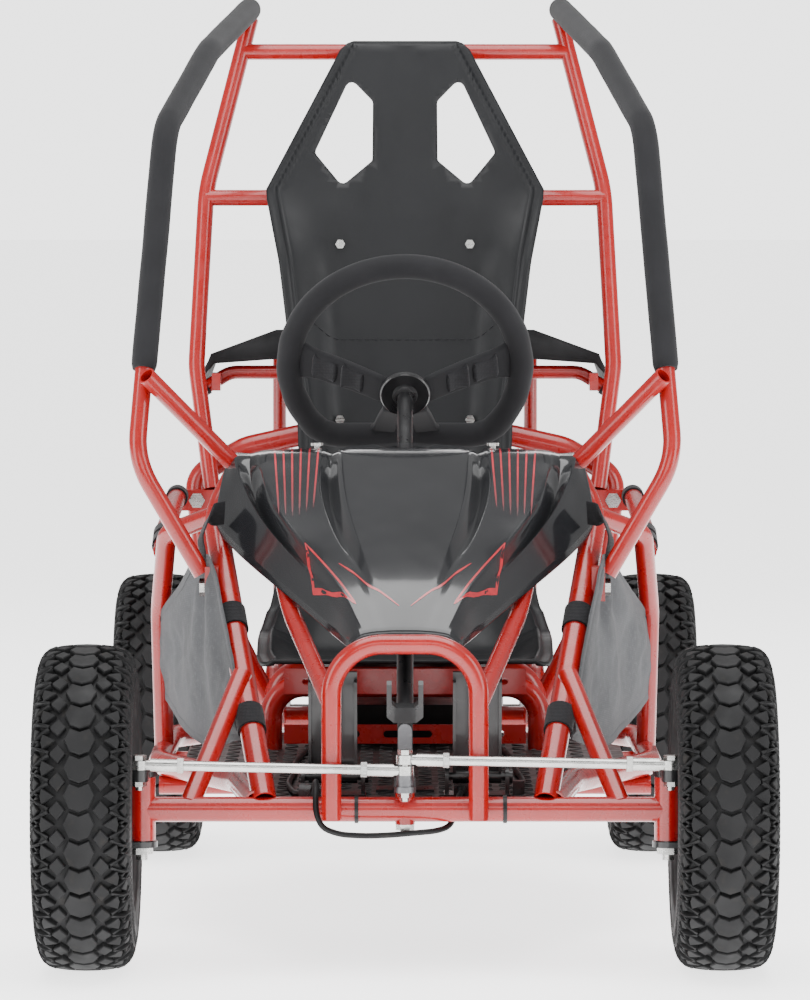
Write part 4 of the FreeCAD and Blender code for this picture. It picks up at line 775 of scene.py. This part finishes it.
def inside(point, outline):
    a, b = point
    hit = False
    for (a1, b1), (a2, b2) in zip(outline, outline[1:] + outline[:1]):
        if (b1 > b) != (b2 > b) and a < (a2 - a1) * (b - b1) / (b2 - b1) + a1:
            hit = not hit
    return hit


def seat_parts():
    outline = seat_outline()
    windows = []
    for side in (-1, 1):
        corners = [(side * a, run_from_height(b)) for a, b in SEAT_WINDOW]
        windows.append(closed_route(corners, 7.0))

    def solid_at(point):
        return inside(point, outline) and not any(inside(point, window) for window in windows)

    flat, edges = [], []
    for ring in [outline] + windows:
        base = len(flat)
        flat += [Vector(point) for point in ring]
        edges += [(base + k, base + (k + 1) % len(ring)) for k in range(len(ring))]
    spacing = 7.0
    rows = int(SEAT_LENGTH / spacing)
    for row in range(1, rows):
        run = SEAT_LENGTH * row / rows
        half = seat_half_width(run)
        columns = [half * share for share in (0.0, 0.1, 0.2, 0.3, 0.4, 0.5, 0.58, 0.66, 0.74, 0.82)]
        columns += [half - inset for inset in (20, 17.5, 15.5, 13.5, 12, 10.5, 5)]
        for across in sorted({round(value, 3) for value in columns + [-value for value in columns]}):
            if solid_at((across, run)):
                flat.append(Vector((across, run)))
    found = delaunay_2d_cdt(flat, edges, [], 0, 1e-4)
    places, triangles = found[0], found[2]
    points = [seat_point(place_2d.x, place_2d.y) for place_2d in places]
    faces = []
    for triangle in triangles:
        a = sum(places[k].x for k in triangle) / 3
        b = sum(places[k].y for k in triangle) / 3
        if solid_at((a, b)):
            faces.append(tuple(triangle))
    return points, faces


def thicken(thing, thickness, offset):
    solid = thing.modifiers.new("thickness", "SOLIDIFY")
    solid.thickness = thickness * MM
    solid.offset = offset
    solid.use_even_offset = False


seat = piece("seat_moulding", *seat_parts(), "seat_plastic", "root", 60)
facing = sum((face.normal.y for face in seat.data.polygons), 0.0)
thicken(seat, SEAT_SHEET, -1 if facing < 0 else 1)
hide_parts("seat_shell")

# The stitched line across the lower back.
stitches = []
stitch_route = flat_route([(-112, 634), (-84, 612), (84, 612), (112, 634)], [30, 30], 3.0)
for index in range(2, len(stitch_route) - 3, 3):
    (a1, b1), (a2, b2) = stitch_route[index], stitch_route[index + 2]
    start = seat_point(a1, run_from_height(b1))
    end = seat_point(a2, run_from_height(b2))
    middle = (start + end) / 2 - Vector((0, 0.5, 0))
    stitches.append(sweep([start, middle, end], lambda index, share: round_section(0.7, 8)))
piece("seat_stitching", *merged(stitches), "strap_web", "root", 60)

# ---------------------------------------------------------------- front fairing
# Half sections from the middle out: (across, up) at each distance back. The lines are the hood's middle,
# its shoulder, the valley, the hump's two edges, the side groove, the wing's crease, its edge and the lip.
FAIRING = [
    (20, [(0, 329), (14, 329), (22, 328.5), (30, 328), (40, 326),
          (44, 325), (49, 323), (54, 320), (54.5, 316)]),
    (22, [(0, 343), (14, 343), (22, 342.5), (30, 342), (40, 340.5),
          (45, 339), (50, 336), (56, 331), (57, 325)]),
    (56, [(0, 371), (22, 369), (30, 366), (38, 366), (54, 361),
          (58, 356), (62, 351), (68, 338), (69, 331)]),
    (90, [(0, 393), (32, 391), (40, 387), (48, 387), (66, 380),
          (69, 371), (72, 364), (78, 345), (79, 337)]),
    (135, [(0, 418), (42, 415), (52, 408), (60, 410), (88, 402),
          (91, 391), (95, 388), (102, 362), (103, 354)]),
    (180, [(0, 440), (54, 437), (66, 424), (76, 430), (108, 420),
          (111, 403), (116, 405), (126, 379), (127, 370)]),
    (250, [(0, 474), (66, 471), (78, 452), (90, 466), (143, 458),
          (147, 432), (157, 448), (170, 409), (171, 400)]),
    (300, [(0, 497), (70, 494), (80, 474), (92, 490), (152, 486),
          (158, 458), (173, 480), (193, 429), (194, 420)]),
    (320, [(0, 506), (69, 503), (79, 488), (91, 502), (154, 499),
          (164, 476), (181, 496), (204, 439), (205, 430)]),
    (338, [(0, 512), (68, 511), (78, 507), (90, 511), (154, 509),
          (166, 506), (182, 507), (190, 500), (191, 493)]),
    (364, [(0, 514), (66, 513), (77, 507), (88, 512), (152, 509),
          (164, 506), (180, 507), (187, 503), (188, 496)]),
    (402, [(0, 516), (58, 512), (72, 490), (84, 510), (148, 508),
          (160, 501), (176, 504), (182, 500), (183, 492)]),
]
FAIRING_COLUMNS = 2 * len(FAIRING[0][1]) - 1
CREASES = {0: 0.55, 1: 0.45, 2: 0.6, 3: 0.5, 4: 0.65, 5: 0.8, 6: 0.85, 7: 1.0, 8: 1.0}


def fairing_parts():
    points = []
    for back, half in FAIRING:
        full = mirrored(-1, half[:0:-1]) + half
        points += [spot(a, back, b) for a, b in full]
    return points, grid_faces(len(FAIRING), FAIRING_COLUMNS, wrapped=False)


fairing = piece("fairing_moulding", *fairing_parts(), "gloss_black", "root", 60)
crease_layer = fairing.data.attributes.new("crease_edge", "FLOAT", "EDGE")
for edge in fairing.data.edges:
    columns = [vertex % FAIRING_COLUMNS for vertex in edge.vertices]
    rows = [vertex // FAIRING_COLUMNS for vertex in edge.vertices]
    if columns[0] == columns[1]:
        crease_layer.data[edge.index].value = CREASES[abs(columns[0] - FAIRING_COLUMNS // 2)]
    elif rows[0] == rows[1] and rows[0] in (0, 1, len(FAIRING) - 1):
        crease_layer.data[edge.index].value = 0.9
smoother = fairing.modifiers.new("smooth", "SUBSURF")
smoother.levels = 3
smoother.render_levels = 3
upward = sum((face.normal.z for face in fairing.data.polygons), 0.0)
thicken(fairing, 2.6, -1 if upward > 0 else 1)
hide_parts("front_fairing")

decal_red = Finish("decal_red", (0.55, 0.012, 0.030), 0.25, coat=1.0)
decal_red.mottle(decal_red.noise(90, 3), (0.40, 0.010, 0.022))
fade = decal_red.add("ShaderNodeSeparateXYZ")
decal_red.link(decal_red.coords, fade.inputs[0])
fade_start = FRONT_AXLE + 0.215
FADED = (0.03, 0.03, 0.032)
fading = decal_red.spread(fade.outputs["Y"], 0.0, 1.0, fade_start + 0.10, fade_start)
decal_red.mottle(fading, FADED, 0.0, 1.0)
line_red = Finish("line_red", (0.50, 0.012, 0.022), 0.25, coat=1.0)
line_red.mottle(line_red.noise(90, 3), (0.36, 0.010, 0.018))


def strip(name, run, width, material):
    """A thin printed line laid on the fairing: flat here, then projected down on to it."""
    points, faces = [], []
    full = []
    for (a1, b1), (a2, b2) in zip(run, run[1:]):
        count = max(1, int(math.dist((a1, b1), (a2, b2)) / 4))
        full += [(a1 + (a2 - a1) * part / count, b1 + (b2 - b1) * part / count) for part in range(count)]
    full.append(run[-1])
    for index, (a, b) in enumerate(full):
        a1, b1 = full[max(index - 1, 0)]
        a2, b2 = full[min(index + 1, len(full) - 1)]
        way = Vector((a2 - a1, b2 - b1)).normalized()
        taper = 0.35 + 0.65 * min(1.0, min(index, len(full) - 1 - index) / 4)
        side = Vector((-way.y, way.x)) * width / 2 * taper
        points += [spot(a - side.x, b - side.y, 560), spot(a + side.x, b + side.y, 560)]
    for index in range(len(full) - 1):
        faces.append((2 * index, 2 * index + 1, 2 * index + 3, 2 * index + 2))
    line = piece(name, points, faces, "gloss_black", "root", 60)
    line.data.materials[0] = material
    wrap = line.modifiers.new("on_fairing", "SHRINKWRAP")
    wrap.target = fairing
    wrap.wrap_method = "PROJECT"
    wrap.use_project_z = True
    wrap.use_negative_direction = True
    wrap.use_positive_direction = False
    wrap.offset = 0.0004


for name, side in SIDES.items():
    for stripe in range(6):
        rear = (side * (90 + 10.5 * stripe), 400)
        front = (side * (96 + 7.2 * stripe), 222 + 4 * abs(stripe - 2.5))
        strip(f"fairing_stripe_{name}_{stripe}", [front, rear], 1.9, decal_red.material)
    lens = [(104, 178), (94, 128), (60, 76), (50, 62), (66, 98), (104, 178)]
    strip("fairing_lens_" + name, mirrored(side, lens), 1.8, line_red.material)
    chevron = mirrored(side, [(68, 128), (34, 80), (6, 50)])
    strip("fairing_chevron_" + name, chevron, 2.0, line_red.material)

# ---------------------------------------------------------------- rear cover's front lip
COVER_FRONT = 943.0
LIP_FRONT = 938.0
# The lip's upper and lower edges: (across, up) of each, from the middle out.
COVER_LIP = [((0, 623), (0, 588)), ((150, 621), (150, 588)),
             ((225, 593), (222, 583)), ((235, 573), (233, 571))]
lip_points, lip_faces = [], []
for side in (-1, 1):
    start = len(lip_points)
    for (edge_across, edge_up), (lip_across, lip_up) in COVER_LIP:
        lip_points.append(spot(side * edge_across, COVER_FRONT, edge_up))
        lip_points.append(spot(side * lip_across, LIP_FRONT, lip_up))
    lip_faces += [(start + k, start + k + 1, start + k + 3, start + k + 2) for k in range(0, 6, 2)]
cover_lip = piece("rear_cover_lip", lip_points, lip_faces, "cover_plastic", "root", 40)
thicken(cover_lip, 2.6, 0)

# ---------------------------------------------------------------- side nets
NET_FRONT = (182.0, 150.0)
NET_REAR = (259.0, 450.0)
NET_LOWER = [(-0.17, 229), (0.10, 214), (0.42, 206), (0.78, 218), (1.10, 243)]
NET_UPPER = [(-0.17, 236), (0.00, 303), (0.26, 384), (0.34, 401), (0.46, 398), (0.68, 366), (1.10, 319)]
NET_PEAK = (0.38, 410.0)
NET_RUN = math.dist(NET_FRONT, NET_REAR)
NET_START, NET_END = -0.17, 1.10
NET_SPAN = NET_END - NET_START
NET_LEAN = 0.26


def net_point(side, along, share):
    low, high = line_value(NET_LOWER, along), line_value(NET_UPPER, along)
    up = low + (high - low) * share
    across = NET_FRONT[0] + (NET_REAR[0] - NET_FRONT[0]) * along
    back = NET_FRONT[1] + (NET_REAR[1] - NET_FRONT[1]) * along
    away_along = (along - NET_PEAK[0]) * NET_RUN
    away_up = NET_PEAK[1] - up
    fan = math.atan2(away_along, max(away_up, 1.0))
    distance = math.hypot(away_along, away_up)
    fold = 3.6 * math.sin(fan * 7.5 + side) * smooth_step(distance / 60)
    fold *= 1 - 0.4 * smooth_step(distance / 220)
    wrinkle = noise.noise(Vector((along * 5.0, up * 0.022, side * 4.0))) * 5.0
    wrinkle += noise.noise(Vector((along * 16.0, up * 0.06, side * 8.0))) * 1.6
    hang = 3.5 * math.sin(math.pi * share)
    out = fold + wrinkle * math.sin(math.pi * min(max(share, 0.08), 0.92)) + hang
    return spot(side * (across + out), back - NET_LEAN * out, up)


def net_parts(side):
    columns, rows = 64, 40
    points = [net_point(side, NET_START + NET_SPAN * column / columns, row / rows)
              for column in range(columns + 1) for row in range(rows + 1)]
    corners = [column * (rows + 1) + row for column in range(columns) for row in range(rows)]
    faces = [(corner, corner + rows + 1, corner + rows + 2, corner + 1) for corner in corners]
    return points, faces


def hem_parts(side):
    """A folded hem round the net's edge."""
    border = [net_point(side, NET_START + NET_SPAN * part / 60, 1.0) for part in range(61)]
    border += [net_point(side, NET_END, 1 - part / 12) for part in range(1, 13)]
    border += [net_point(side, NET_END - NET_SPAN * part / 60, 0.0) for part in range(1, 61)]
    border += [net_point(side, NET_START, part / 6) for part in range(1, 6)]
    return sweep(border, lambda index, share: soft_box(4.5, 1.3, 12), True, Vector((side, -NET_LEAN, 0)))


for name, side in SIDES.items():
    net = piece("side_net_" + name, *net_parts(side), "net_fabric", "root", 80)
    thicken(net, 1.1, 0)
    hem = piece("side_net_hem_" + name, *hem_parts(side), "net_fabric", "root", 60)
    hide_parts("side_nets")


def web_strap(route, width, thick, up):
    count = len(route)

    def ring(index, share):
        close = 0.7 if index in (0, count - 1) else 1.0
        return soft_box(width / 2, thick / 2 * close, 16)

    return sweep(route, ring, up=up)


for name, side in SIDES.items():
    outward = Vector((side, -NET_LEAN, 0))
    peak = net_point(side, 0.38, 0.97)
    strap_route = bent_route([peak, peak + Vector((side * 5, 4, 26)), peak + Vector((side * -4, 14, 50)),
                              peak + Vector((side * -20, 26, 52))], (14, 10), 3.0)
    piece("net_top_strap_" + name, *web_strap(strap_route, 26, 1.8, outward), "strap_web", "root")
    tail = net_point(side, 1.06, 0.9)
    tail_corners = [tail, tail + Vector((side * 4, 10, 30)), tail + Vector((side * 1, 26, 66))]
    tail_strap = web_strap(bent_route(tail_corners, (30,), 3.0), 24, 1.8, outward)
    piece("net_rear_strap_" + name, *tail_strap, "strap_web", "root")

# ---------------------------------------------------------------- control cables
# The same routes as in the CAD: across, back and up.
CABLES = {
    "pedal_wire": [
        (-92, 36, 176), (-91, 22, 186), (-90, 2, 192), (-90, -17, 182), (-90, -24, 163), (-84, -26, 147),
        (-66, -24, 140), (-40, -20, 138), (-14, -20, 139), (12, -17, 141), (32, -10, 142), (45, 4, 145),
        (50, 19, 154), (53, 28, 167), (55, 44, 172), (57, 64, 173), (58, 86, 174)],
    "throttle_cable": [
        (-100, 56, 174), (-104, 70, 171.5), (-112, 88, 170), (-117, 130, 169.4), (-122, 185, 169.2),
        (-120, 245, 169.4), (-117, 305, 169.2), (-119, 365, 169.4), (-118, 425, 169.2), (-113, 485, 169.4),
        (-108, 540, 169.2), (-97, 592, 169.4), (-86, 636, 171), (-76, 668, 176), (-68, 684, 181),
        (-58, 690, 184)],
    "brake_cable": [
        (117, 124, 174), (118, 140, 171.5), (121, 172, 169.8), (124, 215, 169.2), (122, 265, 169.4),
        (118, 320, 169.2), (120, 378, 169.4), (118, 436, 169.2), (113, 495, 169.4), (107, 550, 169.4),
        (103, 605, 169.2), (101, 660, 171), (101, 715, 179), (103, 765, 192), (106, 812, 203),
        (108, 860, 210), (108, 905, 214), (104, 940, 214), (100, 966, 208)],
}
CABLE_RADIUS = 3.0
for name, corners in CABLES.items():
    corners = [spot(*corner) for corner in corners]
    radii = []
    for index in range(1, len(corners) - 1):
        before = corners[index] - corners[index - 1]
        after = corners[index + 1] - corners[index]
        radii.append(0.45 * min(before.length, after.length) / math.tan(before.angle(after) / 2))
    route = bent_route(corners, radii, 3.0)
    points, faces = sweep(route, lambda index, share: round_section(CABLE_RADIUS, 14))
    cord = piece(name, points, faces, "cable_rubber", "root", 60)
    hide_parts("control_cables")
    boots = []
    for place_at, onward in ((route[0], route[3]), (route[-1], route[-4])):
        way = (onward - place_at).normalized()
        boots.append(sweep([place_at, place_at + way * 3, place_at + way * 9, place_at + way * 20],
                           lambda index, share: round_section((4.6, 5.0, 4.2, 3.3)[index], 16)))
    boot = piece(name + "_boots", *merged(boots), "cable_rubber", "root", 45)

# ---------------------------------------------------------------- tread pattern on the floor pan
PAN_HALF = [(124, 34), (150, 160), (240, 350), (240, 640), (142, 796)]
PAN_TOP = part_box("floor_pan")[1].z / MM
PAN_OUTLINE = [(a - 9, b) for a, b in PAN_HALF] + [(9 - a, b) for a, b in PAN_HALF[::-1]]


def lozenge(across, back, turn):
    long_way = Vector((math.cos(turn), math.sin(turn)))
    side_way = Vector((-long_way.y, long_way.x))
    middle = Vector((across, back))
    outline = [(-11, 0), (-6, -2.4), (0, -3.2), (6, -2.4), (11, 0), (6, 2.4), (0, 3.2), (-6, 2.4)]
    base = [middle + long_way * a + side_way * b for a, b in outline]
    top = [middle + long_way * a * 0.78 + side_way * b * 0.55 for a, b in outline]
    points = [spot(point.x, point.y, PAN_TOP - 0.3) for point in base]
    points += [spot(point.x, point.y, PAN_TOP + 1.3) for point in top]
    faces = grid_faces(2, 8) + [tuple(range(8, 16)), tuple(range(8))[::-1]]
    return points, faces


lozenges = []
LOZENGE_PITCH = 21.0
for row in range(36):
    for column in range(-12, 13):
        across, back = column * LOZENGE_PITCH, 46 + row * LOZENGE_PITCH
        if inside((across, back), PAN_OUTLINE):
            lozenges.append(lozenge(across, back, math.pi / 4 if (row + column) % 2 else -math.pi / 4))
piece("floor_tread_pattern", *merged(lozenges), "pan_black", "root", 30)

# ---------------------------------------------------------------- camera, light and floor
CAMERA_BACK = 6.0
CAMERA_UP = 0.811
FOCAL = 214.7
SENSOR = 36.0
# The horizon's share of the picture's height, from the top.
HORIZON = 0.167
PITCH_DOWN = math.atan((0.5 - HORIZON) * SENSOR / FOCAL)

camera_data = bpy.data.cameras.new("camera")
camera_data.lens = FOCAL
camera_data.sensor_width = SENSOR
camera_data.clip_end = 200
camera = bpy.data.objects.new("camera", camera_data)
camera.location = (0, FRONT_AXLE - CAMERA_BACK, CAMERA_UP)
camera.rotation_euler = (math.pi / 2 - PITCH_DOWN, 0, 0)
bpy.context.scene.collection.objects.link(camera)
bpy.context.scene.camera = camera


def area_light(name, location, target, size, power):
    data = bpy.data.lights.new(name, "AREA")
    data.shape = "RECTANGLE"
    data.size, data.size_y = size
    data.energy = power
    lamp = bpy.data.objects.new(name, data)
    lamp.location = location
    lamp.rotation_euler = (Vector(target) - Vector(location)).to_track_quat("-Z", "Y").to_euler()
    bpy.context.scene.collection.objects.link(lamp)


# Where each light stands, what it points at, its size and its power.
LIGHTS = {
    "top_softbox": ((0, -0.6, 3.4), (0, 0, 0.3), (3.6, 3.2), 170),
    "left_softbox": ((-3.2, -2.0, 1.6), (0, 0, 0.5), (1.6, 2.6), 60),
    "right_softbox": ((3.2, -2.0, 1.6), (0, 0, 0.5), (1.6, 2.6), 60),
    "front_fill": ((0, -5.6, 2.4), (0, 0, 0.45), (3.0, 1.4), 40),
    "rear_rim": ((0, 3.6, 2.6), (0, 0.2, 0.6), (3.0, 1.4), 45),
}
for name, settings in LIGHTS.items():
    area_light(name, *settings)

WHITE = (1.0, 1.0, 1.0, 1)
# The sky lights the kart dimly, but the camera sees it bright; the floor glows to match.
SKY_LIGHT = 0.42
SKY_SEEN = 2.98
FLOOR_GLOW = 2.3
world = bpy.data.worlds.new("studio")
world.use_nodes = True
sky = world.node_tree
lighting = sky.nodes["Background"]
seen = sky.nodes.new("ShaderNodeBackground")
for background, strength in ((lighting, SKY_LIGHT), (seen, SKY_SEEN)):
    socket_value(background, "Color", WHITE)
    socket_value(background, "Strength", strength)
rays = sky.nodes.new("ShaderNodeLightPath")
choice = sky.nodes.new("ShaderNodeMixShader")
sky.links.new(rays.outputs["Is Camera Ray"], choice.inputs["Fac"])
sky.links.new(lighting.outputs[0], choice.inputs[1])
sky.links.new(seen.outputs[0], choice.inputs[2])
sky.links.new(choice.outputs[0], sky.nodes["World Output"].inputs["Surface"])
bpy.context.scene.world = world

bpy.ops.mesh.primitive_plane_add(size=120, location=(0, 0, 0))
floor = bpy.context.object
floor.name = "studio_floor"
floor_material = bpy.data.materials.new("studio_floor")
floor_material.use_nodes = True
floor_shader = floor_material.node_tree.nodes["Principled BSDF"]
socket_value(floor_shader, "Base Color", (0.93, 0.93, 0.93, 1))
socket_value(floor_shader, "Roughness", 0.6)
socket_value(floor_shader, "Emission Color", WHITE)
socket_value(floor_shader, "Emission Strength", FLOOR_GLOW)
floor.data.materials.append(floor_material)

bpy.context.view_layer.update()
